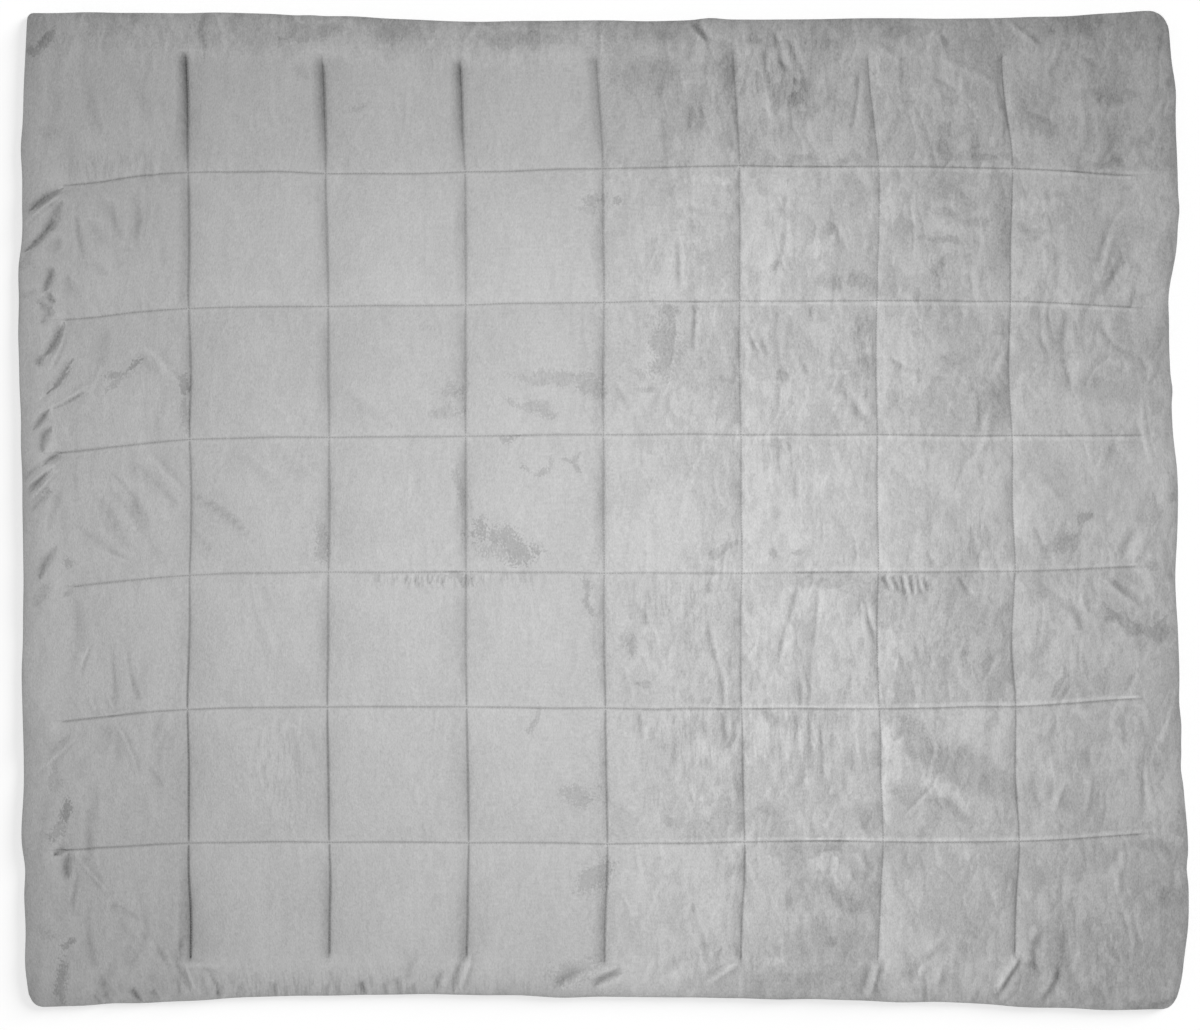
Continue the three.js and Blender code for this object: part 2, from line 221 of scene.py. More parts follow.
# Folds of the cloth, each a soft ridge, or a trough where its rise is below zero. A fold runs from x, y
# and may bend to its left. Most fan out from the ends of the stitch lines, where the border is gathered.
FOLDS = table("x y to_x to_y bend width rise", """
# Left border, from the top down to the second row
-625 560 -560 470 0 9 1.6
-701 420 -749 386 -2 4.5 -6
-700 413 -753 368 -2 3.5 3.5
-703 404 -718 362 0 9 -5
-712 380 -754 335 4 5 -6
-704 358 -713 334 0 8 -3.4
-690 404 -676 320 -4 6 2
-684 388 -670 310 -2 6 -2.7
-668 378 -645 345 0 9 -2.7
-640 404 -628 352 0 6 -3
-591 424 -608 349 3 4.5 -2
-665 326 -644 304 0 6 -2.7
-698 306 -682 278 0 7 -2.7
-714 318 -727 282 2 6 -5
-735 287 -755 276 0 4 -3
-720 284 -712 268 0 4 -4
-732 268 -712 256 0 5 -4
-713 259 -730 243 0 6 -3.5
# Left border, from the second row down to the third
-702 245 -729 198 5 6 -6
-727 202 -735 188 0 6 -5
-699 243 -722 178 4 4 3.5
-688 199 -723 151 3 6 -6
-681 205 -738 138 4 4 3
-671 154 -724 129 2 3.5 -4
-720 133 -743 103 3 4.5 -5
-662 167 -738 124 4 4.5 3.5
-717 110 -730 74 -2 7 -5
-640 246 -665 165 4 9 -2.7
-652 196 -668 148 3 6 2.7
-600 214 -553 166 3 8 3.4
-606 206 -576 172 3 7 -3
# Left border, from the third row down to the fourth, with waves that run on into the next cells
-706 75 -729 57 0 3.5 -5
-728 60 -752 40 0 3.5 -3
-700 68 -752 28 0 3.5 3
-713 58 -746 22 0 4 -4.8
-712 48 -746 10 0 3.5 3.4
-716 26 -744 -3 0 4 -3.5
-702 30 -722 -30 0 7 -2.7
-690 44 -692 6 0 6 2.7
-610 62 -550 0 3 8 -3.2
-600 74 -546 22 3 7 3
-662 28 -616 -54 3 8 -3.2
-650 24 -600 -36 3 8 3.2
-646 52 -606 6 0 5 2.2
-638 46 -587 -26 3 9 -3
-690 -16 -616 -66 0 7 -2.7
-652 -54 -606 -72 0 4 2.4
-533 19 -455 -41 7 8 -4
-536 -24 -505 -60 0 8 -2.4
-482 82 -410 22 0 9 -2.4
-428 82 -368 34 0 9 -1.8
-470 160 -400 108 0 9 -1.4
-350 165 -262 100 0 9 -2.4
# Left border, from the fourth row down to the sixth
-708 -45 -734 -94 -2 5.5 -4.5
-690 -101 -699 -114 0 4 -3
-690 -108 -676 -190 6 10 -2.7
-663 -168 -681 -218 -3 3.5 3.2
-638 -176 -630 -256 0 4 -3.2
-621 -178 -606 -248 -4 4.5 2.4
-612 -190 -599 -256 -3 7 -1.4
-668 -240 -658 -268 0 4 3.2
-646 -238 -634 -264 0 4 3.2
-640 -268 -603 -352 5 4 3
-646 -280 -622 -334 3 6 -2.7
-590 -334 -572 -362 3 4 -2.4
-574 -264 -582 -302 0 5 -2.7
-690 -288 -728 -334 0 5 -3
-686 -296 -742 -346 0 5 3
# Bottom left corner
-700 -442 -714 -449 0 4.5 -5
-707 -432 -731 -416 0 4 -3
-696 -439 -732 -413 0 3 3
-697 -445 -695 -482 0 6 -4.5
-690 -458 -694 -512 3 4.5 2.4
-687 -498 -686 -532 0 5 -1.8
-690 -445 -638 -504 0 4.5 3.2
-668 -474 -642 -507 0 4.5 -2.4
-640 -448 -638 -492 0 12 -2
-641 -502 -600 -531 0 5 2.4
-636 -510 -602 -534 0 6.5 -2.6
-590 -530 -560 -546 0 3.5 1.8
-642 -506 -660 -558 4 6 2
-667 -516 -655 -602 -4 5.5 -2.4
-655 -600 -629 -636 -3 5 -2.8
-616 -538 -590 -572 0 5 1.8
-626 -530 -600 -604 0 9 -2.2
-592 -604 -568 -638 6 5.5 -2.4
-592 -548 -556 -606 2 3.5 -2.4
-556 -606 -549 -638 3 4.5 -2.4
-554 -500 -553 -592 0 4 1.8
-738 -565 -727 -597 0 4 -1.8
# Bottom edge, from left to right, with the short puckers of its seam
-662 -630 -651 -643 0 4 -3
-647 -626 -636 -642 0 4 -3
-628 -610 -624 -632 0 4.5 -2.4
-612 -622 -599 -641 0 4 -5
-586 -624 -575 -638 0 4 -3
-547 -556 -555 -598 0 7 -3.6
-554 -590 -537 -626 2 7 -4.2
-544 -588 -516 -634 -5 5 3.6
-540 -588 -492 -598 0 5 2.4
-524 -602 -508 -634 0 4 -2.4
-516 -598 -502 -626 0 4 2
-521 -590 -494 -634 2 6 -3.6
-503 -627 -493 -635 0 4 -3.4
-472 -616 -463 -632 0 4 -2.4
-530 -540 -498 -503 0 10 1.4
-427 -614 -425 -634 0 4 -3
-411 -618 -411 -634 0 4 -2.4
-357 -598 -340 -630 0 6 -2.4
-358 -616 -358 -634 0 4 -2.4
-314 -612 -307 -632 0 4.5 -4.5
-283 -614 -280 -633 0 4 -3.4
-267 -606 -263 -632 0 4.5 -3.4
-246 -614 -243 -632 0 4 -3
-243 -578 -254 -616 0 7 -2.4
-208 -598 -217 -630 0 5 -3.4
-172 -578 -186 -624 0 6 3.6
-180 -578 -196 -628 0 6 -4.4
27 -600 -14 -618 0 5.5 -4.4
22 -592 -20 -608 0 5 2.6
-24 -596 -66 -622 0 7 -3.4
183 -582 138 -613 0 6 3.3
172 -584 128 -613 0 5 -2.7
117 -578 78 -603 0 7 -2.4
358 -583 345 -632 0 5.5 3.6
348 -590 336 -632 0 5.5 -2.8
431 -572 396 -618 -4 7 -3.2
441 -552 406 -610 -4 7 3.2
456 -566 438 -604 -2 7 -2.8
452 -572 430 -626 -2 6 3
541 -577 507 -630 0 5 4.6
546 -582 513 -634 0 5 -1.6
572 -546 560 -600 -2 6 -2.2
562 -545 551 -590 -2 6 2.2
596 -586 569 -646 5 6.5 -2.4
587 -592 562 -636 5 6 2.6
601 -543 601 -590 0 6 -1.6
603 -588 612 -614 0 7 -1.6
# Right half, above the highest row
108 634 136 603 0 4 2.6
119 633 143 607 0 6 -3
116 532 113 488 0 4 -1.2
128 536 131 494 0 4 -1.4
206 578 222 506 0 5 1.9
213 620 216 524 -3 4 -1.9
218 628 240 570 0 5 -2.3
236 622 262 564 0 5 -1.9
228 592 239 570 0 4 -2.3
332 574 322 487 3 4 -2.3
352 607 386 582 0 4 1.8
437 623 451 602 0 4 -1.9
436 587 522 549 0 6 1.6
428 566 462 544 0 4 -1.6
519 640 571 597 0 4 2.4
616 594 646 574 0 4 -2
549 518 586 505 0 4 -1.9
674 492 667 453 0 8 -2
# Right half, below the highest row
95 425 87 407 0 4 -1.9
108 393 172 383 0 4 -1.6
98 356 100 284 0 4 -3
239 414 236 384 0 4 -1.8
239 376 227 308 2 5 -1.9
301 372 315 333 2 4.5 -2.4
690 352 664 288 0 8 -2.7
656 366 644 318 0 5 -1.9
662 358 645 298 0 5 1.6
726 362 715 298 0 10 1.5
673 320 649 278 0 6 -3
684 265 730 289 0 4.5 -2.4
# Right half, below the second row from the top
122 276 117 203 0 4 -3.4
150 173 178 167 0 4 -2.3
14 167 38 131 0 5 -2.4
205 224 216 199 0 4 -2.7
195 223 199 207 0 4 -1.9
261 192 268 177 0 4 -2.4
271 270 272 244 0 4 -2
304 167 346 117 0 7 -2
322 141 353 107 0 6 -2.3
285 152 311 104 0 8 -1.6
372 199 399 181 0 4 -2.4
396 184 452 169 0 4 -2
504 184 521 210 0 4 -1.9
488 162 491 104 0 4 -1.6
602 256 597 204 0 5 -2.4
597 206 609 156 0 4 -1.9
564 233 581 198 0 4 -1.9
645 241 663 213 0 4 -1.8
661 214 696 200 0 4 -1.8
694 203 709 177 0 4 -1.8
# Right half, below the third row from the top
213 80 212 48 0 4 -1.6
228 78 231 43 0 6 -1.9
251 54 252 12 0 4 -1.6
231 6 227 -32 0 7 -1.8
427 -8 428 -36 0 6 -1.6
420 -53 433 -74 0 4 -2
478 -18 491 -78 0 5 -1.6
560 -18 581 -66 0 4 -1.9
556 52 600 4 0 7 1.5
660 86 702 34 0 8 -1.8
693 -23 674 -62 0 6.5 -3
706 -38 688 -68 0 5 1.6
736 48 724 6 0 8 1.8
724 40 700 -18 0 12 -1.9
# Right half, below the third row from the bottom, where seven short gathers hang from the stitches
364 -85 375 -105 0 3.5 -3.6
376 -85 387 -107 0 3.5 -3.6
388 -84 394 -112 0 3.5 -4.1
401 -84 404 -112 0 3.5 -4.1
408 -84 414 -111 0 3.5 -3.6
417 -86 423 -107 0 3.5 -3.2
423 -91 431 -106 0 3.5 -3.1
461 -87 479 -113 0 4 -2.3
457 -87 470 -105 0 4 1.6
54 -128 60 -152 0 4 -2.3
135 -138 156 -222 -2 4 -2.7
155 -214 158 -262 0 4 -2.6
158 -262 161 -302 0 4 -2.6
253 -97 238 -152 2 4 -2
238 -148 227 -201 0 4 -2.7
280 -98 271 -186 2 4 -2.4
271 -180 268 -257 0 4 -1.9
257 -218 258 -257 0 4 -2.4
332 -117 338 -142 0 4 -1.9
340 -119 356 -177 0 4 -2.4
404 -173 413 -190 0 4 -1.9
490 -207 526 -179 0 6 -1.6
556 -122 602 -110 8 8 -2.3
585 -119 622 -168 6 7 1.8
610 -123 626 -154 3 7 -1.6
645 -87 697 -129 0 5 3
664 -91 702 -116 0 5 -1.6
576 -163 569 -197 0 8 -1.5
690 -213 682 -242 0 4.5 -1.9
# Right half, below the second row from the bottom
48 -261 51 -300 0 4 -2.3
95 -262 95 -336 0 6 -1.9
173 -268 165 -322 0 4 -1.9
255 -264 250 -328 0 5 -2
271 -261 270 -328 0 4 -2.3
282 -261 289 -362 0 4 -1.9
232 -298 234 -352 0 4 -1.6
262 -333 260 -362 0 4 -2
325 -308 326 -347 0 4 -2
315 -338 317 -372 0 4 -1.6
254 -403 277 -427 0 5 1.6
284 -403 312 -427 0 6 1.6
331 -408 347 -427 0 4 1.6
434 -352 388 -400 0 3 -1.6
555 -352 574 -388 -3 7 -1.9
574 -388 593 -350 -3 7 -1.6
598 -353 586 -394 0 4 2.3
632 -338 626 -398 2 4 1.9
630 -306 633 -337 0 4.5 -2.3
702 -318 703 -397 0 4 -2.3
663 -263 664 -287 0 4.5 1.6
675 -263 683 -312 0 6 -1.8
# Right half, below the lowest row
300 -438 352 -482 0 8 -2
329 -446 346 -472 0 4.5 1.6
311 -468 334 -492 0 6 1.9
280 -503 332 -547 0 8 1.6
278 -528 302 -567 0 8 -1.9
408 -453 452 -492 0 9 -1.5
488 -458 511 -522 0 7 -1.6
499 -484 516 -514 0 4 1.6
672 -438 665 -462 0 6 -1.8
670 -464 669 -502 0 4 1.5
# Left half, below the third row from the bottom, where short gathers hang from the stitches
-289 -83 -293 -95 0 3 -2
-266 -83 -268 -94 0 3 -1.8
-253 -83 -257 -97 0 3 -2.6
-241 -83 -244 -96 0 3 -2.4
-234 -83 -238 -99 0 3 -2.6
-227 -83 -229 -95 0 3 -2
-220 -83 -225 -98 0 3 -2.8
-212 -83 -216 -96 0 3 -2.4
-205 -83 -208 -98 0 3 -2.6
-167 -83 -169 -94 0 3 -1.8
-158 -83 -160 -93 0 3 -1.6
# Left half, below the second row from the bottom
-422 -272 -401 -318 -4 5 -1
-382 -278 -370 -318 0 5 -1.2
""")

# Marks where the pile lies another way: half length, half width, turn from the x axis in degrees,
# and strength, below zero where the mark is darker than the cloth round it
MARKS = table("x y long wide turn strength", """
# Left border
-722 614 20 9 60 -1.2
-738 596 14 5 15 -0.9
-722 486 12 8 0 -0.4
-750 325 9 8 0 -0.6
-725 270 9 8 0 -0.6
-606 187 11 5 40 -1.1
-632 174 15 5 15 -0.9
-633 161 13 5 50 -0.7
-724 21 6 5 0 -0.8
-547 164 12 8 90 -0.8
-547 130 20 6 90 -0.5
-697 -67 7 6 0 -0.8
-730 -112 12 7 60 -0.4
-710 -345 20 6 85 -0.5
-703 -389 14 7 80 -1.3
-711 -411 15 8 80 -0.8
-724 -552 14 8 -20 -0.4
-697 -566 8 6 0 -1.1
-701 -606 27 8 88 -0.9
# Top band
-520 620 24 6 85 -0.8
-380 618 45 12 5 -0.7
-272 622 28 16 0 -0.6
-110 612 65 12 0 -0.6
# Middle columns
-388 566 10 14 0 -0.5
-318 520 12 5 10 -0.5
-15 404 14 10 0 -0.7
-20 390 20 5 0 -0.5
-60 172 62 9 0 -0.6
-16 158 18 12 0 -0.7
-95 133 36 6 -12 -0.6
-195 156 13 12 0 -0.6
-205 128 22 7 0 -0.5
-188 30 26 6 90 -0.5
-126 -46 46 17 -18 -1.0
-150 -26 22 13 -30 -0.9
-142 -55 28 9 -15 -0.6
-85 52 15 3.5 35 -0.8
-73 68 8 3.5 85 -0.6
-108 53 6 3.5 -25 -0.7
-51 68 9 3.5 -5 -0.7
-39 60 11 3.5 -50 -0.8
-40 73 9 3.5 40 -0.7
-123 93 10 4 8 -0.9
-370 -45 24 10 90 -0.7
-188 -88 14 8 0 -0.7
-17 -114 24 5 -68 -0.8
-92 -272 16 4 88 -0.7
-32 -368 22 16 0 -0.7
-14 -482 30 16 38 -0.7
-40 -600 34 14 20 -0.6
# Right half, above the highest row
60 618 34 12 0 -0.5
62 566 46 22 0 -0.5
122 514 26 10 90 -0.5
156 572 34 16 90 -0.7
252 532 13 10 0 -1
252 552 6 6 0 -0.8
268 550 11 6 80 -0.5
290 600 20 14 0 -0.5
362 560 26 8 88 0.6
250 453 42 6 0 -0.5
320 456 16 7 0 -0.6
380 622 26 11 0 -0.5
422 612 12 12 0 0.7
485 600 38 28 0 -0.4
455 492 22 9 10 -0.5
437 463 17 9 88 -0.8
485 474 13 8 60 -0.7
480 455 56 7 0 -0.6
655 538 42 9 0 -0.5
640 450 52 6 -3 -0.5
610 628 60 14 0 -0.5
# Right half, below the highest row
140 428 36 6 0 0.6
14 403 7 5 0 -0.9
220 314 8 5 60 -1
322 412 30 22 90 -0.6
290 362 13 12 0 -0.8
290 340 15 12 0 0.7
292 300 17 13 0 -0.8
330 300 13 9 88 -0.8
346 288 14 10 88 -0.7
380 398 26 22 0 0.6
455 412 44 11 -15 -0.4
446 381 15 7 -30 -0.7
482 375 18 9 0 -0.6
442 350 24 6 -5 -0.8
440 318 16 9 20 -0.7
512 350 55 16 88 -0.5
405 330 24 22 0 0.5
560 395 32 9 0 0.5
558 362 18 9 0 -0.7
690 368 32 20 0 -0.5
# Right half, below the second row from the top
80 216 44 19 90 -0.9
86 259 12 9 0 -1.1
70 215 15 9 90 -1
71 188 15 12 0 -1
50 178 7 6 0 -0.7
58 158 15 5 -10 -0.6
235 178 14 8 -70 -1
254 192 9 5 88 -0.6
332 232 30 13 85 -0.7
336 186 21 15 0 -0.7
303 178 22 4 5 0.8
450 192 24 12 0 -0.6
392 160 32 14 0 0.5
508 136 31 20 90 -0.7
640 155 55 16 -15 -0.5
# Right half, below the third row from the top
222 85 11 9 90 -0.6
241 80 7 5 90 -0.7
150 -54 14 9 10 -0.8
167 -47 14 6 15 -0.6
221 -58 11 9 80 -0.9
251 -56 7 6 0 -0.9
600 -38 20 13 35 -1
589 -46 13 5 -20 -0.9
613 -49 13 5 70 -0.9
597 -25 12 4 80 -0.8
616 -28 12 5 60 -0.8
623 -12 12 6 25 -1
715 0 14 11 80 -0.8
713 -68 13 8 0 -0.9
742 20 9 6 80 -0.7
# Right half, below the third row from the bottom
300 -89 60 9 0 -0.7
336 -106 22 18 0 -0.5
32 -172 15 8 80 -0.8
137 -98 8 5 88 -0.8
117 -188 6 4 0 -1.4
52 -228 11 6 0 -0.6
193 -226 11 6 88 -0.6
368 -180 80 11 90 0.8
470 -180 9 5 88 -0.6
516 -138 12 9 50 -0.6
672 -145 20 9 -18 -1.1
694 -156 20 10 -12 -1.1
722 -161 22 10 -8 -1.2
661 -134 12 4 -60 -0.9
677 -141 11 4 -50 -0.9
701 -145 9 4 70 -0.8
713 -138 15 4 75 -0.8
728 -149 11 4 50 -0.9
587 -228 15 5 50 -1
598 -213 10 4 80 -0.9
601 -232 10 4 65 -0.8
# Right half, below the second row from the bottom
213 -268 15 6 -20 -0.6
80 -405 10 8 30 -0.6
165 -370 40 14 88 -0.4
268 -352 9 7 88 0.6
215 -390 16 7 -20 -0.5
340 -330 20 14 0 -0.5
332 -400 30 18 -25 -0.5
325 -374 17 11 0 0.5
376 -320 40 13 82 0.7
470 -338 72 24 -24 -0.7
408 -303 38 17 -58 -1.1
439 -363 38 11 -25 0.9
448 -388 28 8 -25 -0.6
392 -365 22 12 -10 -0.6
575 -335 20 9 88 0.5
688 -272 8 8 0 0.7
740 -427 9 8 0 1
715 -438 22 8 -10 -0.6
# Right half, below the lowest row
290 -440 66 9 0 -0.5
236 -446 17 11 0 -0.5
246 -470 20 15 88 -0.5
293 -461 20 13 -40 0.9
315 -504 32 15 -32 -0.8
240 -510 13 6 88 -0.7
295 -560 11 9 60 -0.6
250 -610 62 13 3 -0.5
553 -594 12 4 -60 -0.7
228 -586 44 5 15 0.6
735 -500 17 15 88 -0.5
740 -630 11 9 0 0.5
708 -646 40 6 3 -0.7
""")

# Broad parts of the cloth, each bounded by stitch lines or edges, made lighter or darker:
# how far from its bounds its tone fades in, and its tone as a share of the cloth's colour
PARTS = table("left right low high fade tone", """
-770 770 441 660 4 -0.02
0 770 446 660 5 -0.08
-537 0 270 441 4 0.045
0 358 270 446 8 0.03
-770 770 600 660 12 -0.06
537 770 446 660 20 -0.03
358 537 446 660 8 0.04
-770 -537 -660 -434 30 -0.06
0 179 -660 -434 5 0.05
179 770 -660 -434 5 -0.03
358 537 94 450 10 -0.02
179 770 -82 94 8 0.04
179 358 -434 446 8 0.04
358 537 -660 -258 8 0.05
358 537 -258 -82 5 -0.06
0 179 -258 -82 8 -0.04
-770 -537 -434 -258 30 -0.04
""")

# Marks in the pile: their rounded form, how unevenly it is bent, how far it covers the pile and its tone
MARK_ROUNDNESS = 1.6
MARK_BEND = 8
MARK_BEND_CELL = (18, 24)
MARK_COVER = 1.0
MARK_DARKENING = 0.24
MARK_LIGHTENING = 0.16

# Marks and places with ticks end at this many times their half size
FADE_END = 1.5

# Places where the pile is gathered in short upright ticks: half width, half height and strength
TICKS = table("x y wide high strength", """
-640 446 70 18 0.5
-235 -92 60 10 0.8
-130 -90 60 8 0.6
340 215 22 40 0.8
235 70 40 30 0.5
100 -120 70 30 0.5
110 -300 60 40 0.6
260 -300 70 60 0.6
480 -40 50 36 0.6
240 570 60 50 0.6
-420 -330 50 60 0.5
-320 -620 230 18 0.7
640 -590 90 40 0.4
""")

# Small unevenness of the cloth, of its brushed pile, of its edges and of its stitch lines:
# how far it goes, and how far apart its swells are
UNEVEN_RISE = 0.9
UNEVEN_CELL = (120, 120)
BRUSHED_RISE = 0.9
BRUSHED_CELL = (30, 95)
SCALLOP_RISE = 1.2
SCALLOP_CELL = 55
WANDER_RISE = 0.8
WANDER_CELL = 60

# Chance wrinkles of the cloth: how high they stand, how far apart they are and how far they are bent,
# and the closer ones in the border left of the first stitch column
WRINKLE_RISE = 1.6
WRINKLE_CELL = (52, 95)
BORDER_WRINKLE_RISE = 2.8
BORDER_WRINKLE_CELL = (20, 58)
BORDER_WRINKLED_TO_X = -560
WRINKLE_BEND = 30
WRINKLE_BEND_CELL = (90, 90)

# The pile is brushed flat in the left half and stands up in streaks in the right half and by the top edge
BRUSHED_FROM_X = -60
BRUSHED_TO_X = 170
BRUSHED_TOP_BAND = 90
BRUSHED_LEAST = 0.3

# In the right half it is calmer between the two middle rows
CALM_SHARE = 0.3
CALM_REACH = 75

# Painted shade and highlight by slope, standing for the pile that leans to the left: slopes that face right
# are painted darker and slopes that face left lighter, and the thread's crease gets painted shade:
# by these shares of the cloth's colour, from left to right.
# Where the lightening is below zero, both sides of a groove are painted darker.
PAINTED_SLOPE_SHADE = table("x darkening lightening crease", """
-537 0.50 -0.30 0.34
-358 0.50 -0.30 0.27
-179 0.50 -0.30 0.23
0 0.36 -0.15 0.22
179 0.28 0.10 0.17
358 0.18 0.20 0.12
537 0.16 0.21 0.16
""")
SHADE_STEEPEST = 1.3
# Painted shade in the crease of each stitch row
ROW_CREASE_PAINTED_SHADE = 0.14

# Slopes are taken between two points this far to the left and to the right
SLOPE_STEP = 0.6

# Folds: the painted shade and highlight of their slopes, how blunt their ends are,
# and the slim core along each one, painted dark as shade in a trough and light as a highlight on a ridge,
# which has its full tone in folds of the full rise and less in lower ones
FOLD_PAINTED_SHADE = 0.4
FOLD_PAINTED_HIGHLIGHT = 0.25
FOLD_BLUNTNESS = 3
CORE_PAINTED_SHADE = 0.4
CORE_PAINTED_HIGHLIGHT = 0.24
CORE_RISE = 6
CORE_FALL = 2
CORE_SLIMMEST = 0.1
CORE_WIDTH = 0.6

# The painted shade in the creases of the columns is darker in the lower rows
LOW_CREASE_GAIN = 0.9
LOW_CREASE_FROM_Y = -100
LOW_CREASE_TO_Y = -300

# Where a row crosses a column, the pile stands up and breaks the painted shade in the column's crease
CROSSING_GAP = 1.3
CROSSING_REACH = 2.6

# Painted highlight: the pile beside a stitch row is painted lighter on the side of the blanket's middle,
# most in the right half, standing for the sheen of the pile
RIM_PAINTED_HIGHLIGHT = 0.26
RIM_LEAST = 0.15
RIM_FROM_X = -100
RIM_TO_X = 450
RIM_DISTANCE = 3.2
RIM_WIDTH = 1.7

# Grid lines stand this far apart beside a stitch line or an edge, and then by a wider step.
# Cells of the grid that hold a slim fold or a slim mark are split again, this many times each way.
# The places where curved grid lines cross are found in a few steps.
FINE_STEPS = (0.9, 1.3, 2.2, 4.0)
GRID_STEP = 8.2
SPLIT = 3
SPLIT_FOLD_WIDTH = 8
SPLIT_MARK_WIDTH = 10
SPLIT_REACH = 1.1
CROSSING_STEPS = 6

# Under the seam the cloth turns in to the floor: how far in, and how high, each ring of points lies
UNDER_RINGS = ((1.5, 2.2), (4.0, 0.6), (7.0, 0.0))

# One stitch of the quilting thread
STITCH_PITCH = 3.5
STITCH_LENGTH = 2.3
THREAD_RADIUS = 0.4
THREAD_SIDES = 6
STITCH_TURN = 0.08

# Rings of points along one stitch: share of its half length, share of its radius, and lift
STITCH_RINGS = table("along radius lift", """
-1.0 0.35 -0.5
-0.6 1.0 0.3
0.6 1.0 0.3
1.0 0.35 -0.5
""")

# Chance swells come from a square lattice of chance values, each use with a seed of its own
LATTICE_SIZE = 64
UNEVEN_SEED = 1
BRUSHED_SEED = 2
WRINKLE_BEND_SEEDS = (4, 5)
WRINKLE_SEED = 6
MARK_BEND_SEEDS = (7, 8)
BORDER_WRINKLE_SEED = 9
LEFT_EDGE_SEED = 11
RIGHT_EDGE_SEED = 12
BOTTOM_EDGE_SEED = 13
TOP_EDGE_SEED = 14
FIRST_COLUMN_SEED = 20
FIRST_ROW_SEED = 30
COLUMN_STITCH_SEED = 41
ROW_STITCH_SEED = 42


def soft_noise(x, y, cell, seed):
    """Smooth chance swells between -1 and 1, about one cell apart."""
    lattice = np.random.default_rng(seed).uniform(-1, 1, (LATTICE_SIZE, LATTICE_SIZE))
    across = x / cell[0]
    up = y / cell[1]
    column = np.floor(across).astype(int)
    row = np.floor(up).astype(int)
    share_across = across - column
    share_up = up - row
    share_across = share_across * share_across * (3 - 2 * share_across)
    share_up = share_up * share_up * (3 - 2 * share_up)
    left = column % LATTICE_SIZE
    right = (column + 1) % LATTICE_SIZE
    lower = row % LATTICE_SIZE
    upper = (row + 1) % LATTICE_SIZE
    low_left = lattice[lower, left]
    low_right = lattice[lower, right]
    high_left = lattice[upper, left]
    high_right = lattice[upper, right]
    low = low_left + share_across * (low_right - low_left)
    high = high_left + share_across * (high_right - high_left)
    return low + share_up * (high - low)


def line_noise(place, cell, seed):
    """Smooth chance swells between -1 and 1 along a line."""
    return soft_noise(place, 0 * place, (cell, cell), seed)


def bent_by_noise(x, y, bend, cell, seeds):
    """Points moved by up to the bend each way."""
    return x + bend * soft_noise(x, y, cell, seeds[0]), y + bend * soft_noise(x, y, cell, seeds[1])


def smooth_step(low, high, value):
    """0 below low, 1 above high, and smooth between."""
    share = np.clip((value - low) / (high - low), 0, 1)
    return share * share * (3 - 2 * share)


def smooth_curve(stations, values):
    """A smooth curve through the given stations, level beyond its ends."""
    stations = np.asarray(stations, float)
    values = np.asarray(values, float)
    slopes = np.empty_like(values)
    slopes[1:-1] = (values[2:] - values[:-2]) / (stations[2:] - stations[:-2])
    slopes[0] = (values[1] - values[0]) / (stations[1] - stations[0])
    slopes[-1] = (values[-1] - values[-2]) / (stations[-1] - stations[-2])

    def at(station):
        place = np.clip(station, stations[0], stations[-1])
        index = np.clip(np.searchsorted(stations, place) - 1, 0, len(stations) - 2)
        span = stations[index + 1] - stations[index]
        share = (place - stations[index]) / span
        rest = 1 - share
        return (
            rest * rest * ((1 + 2 * share) * values[index] + share * span * slopes[index])
            + share * share * ((1 + 2 * rest) * values[index + 1] - rest * span * slopes[index + 1])
        )

    return at


def bump(place, middle, reach):
    """1 at the middle, dying out to both sides beyond the reach."""
    offset = (place - middle) / reach
    return np.exp(-offset * offset)


def wavy_edge(stations, places, outward, waves, seed):
    """An edge whose smooth curve is drawn in and out a little by the seam and by the folds that reach it."""
    curve = smooth_curve(stations, places)

    def at(position):
        place = curve(position) + SCALLOP_RISE * line_noise(position, SCALLOP_CELL, seed)
        for wave in waves:
            place = place + outward * wave["out"] * bump(position, wave["place"], wave["reach"])
        return place

    return at


left_edge = wavy_edge(SIDE_EDGES["y"], SIDE_EDGES["left"] - LENGTH / 2, -1, LEFT_WAVES, LEFT_EDGE_SEED)
right_edge = wavy_edge(SIDE_EDGES["y"], LENGTH / 2 - SIDE_EDGES["right"], 1, RIGHT_WAVES, RIGHT_EDGE_SEED)
bottom_edge = wavy_edge(END_EDGES["x"], END_EDGES["bottom"] - WIDTH / 2, -1, BOTTOM_WAVES, BOTTOM_EDGE_SEED)
top_edge = wavy_edge(END_EDGES["x"], WIDTH / 2 - END_EDGES["top"], 1, TOP_WAVES, TOP_EDGE_SEED)


def even_column(index):
    """x of a stitch column before it strays."""
    return COLUMN_PITCH * (index - (len(STITCH_COLUMNS) - 1) / 2)


def even_row(index):
    """y of a stitch row before it strays."""
    return ROWS_MIDDLE_Y + ROW_PITCH * (index - (len(STITCH_ROWS) - 1) / 2)


LOWEST_ROW = even_row(0)
HIGHEST_ROW = even_row(len(STITCH_ROWS) - 1)
FIRST_COLUMN = even_column(0)
LAST_COLUMN = even_column(len(STITCH_COLUMNS) - 1)


def column_line(index):
    """x of a stitch column at any height y."""
    column = STITCH_COLUMNS[index]
    lower = (LOWEST_ROW + ROWS_MIDDLE_Y) / 2
    upper = (HIGHEST_ROW + ROWS_MIDDLE_Y) / 2
    stations = (column["start"], LOWEST_ROW, lower, ROWS_MIDDLE_Y, upper, HIGHEST_ROW, column["stop"])
    strays = [column[name] for name in ("bottom", "low", "lower", "middle", "upper", "high", "top")]
    curve = smooth_curve(stations, even_column(index) + np.array(strays))

    def at(y):
        bow = column["bow"] * np.sin(math.pi * (y - LOWEST_ROW) / ROW_PITCH) ** 2
        return curve(y) + bow + WANDER_RISE * line_noise(y, WANDER_CELL, FIRST_COLUMN_SEED + index)

    return at


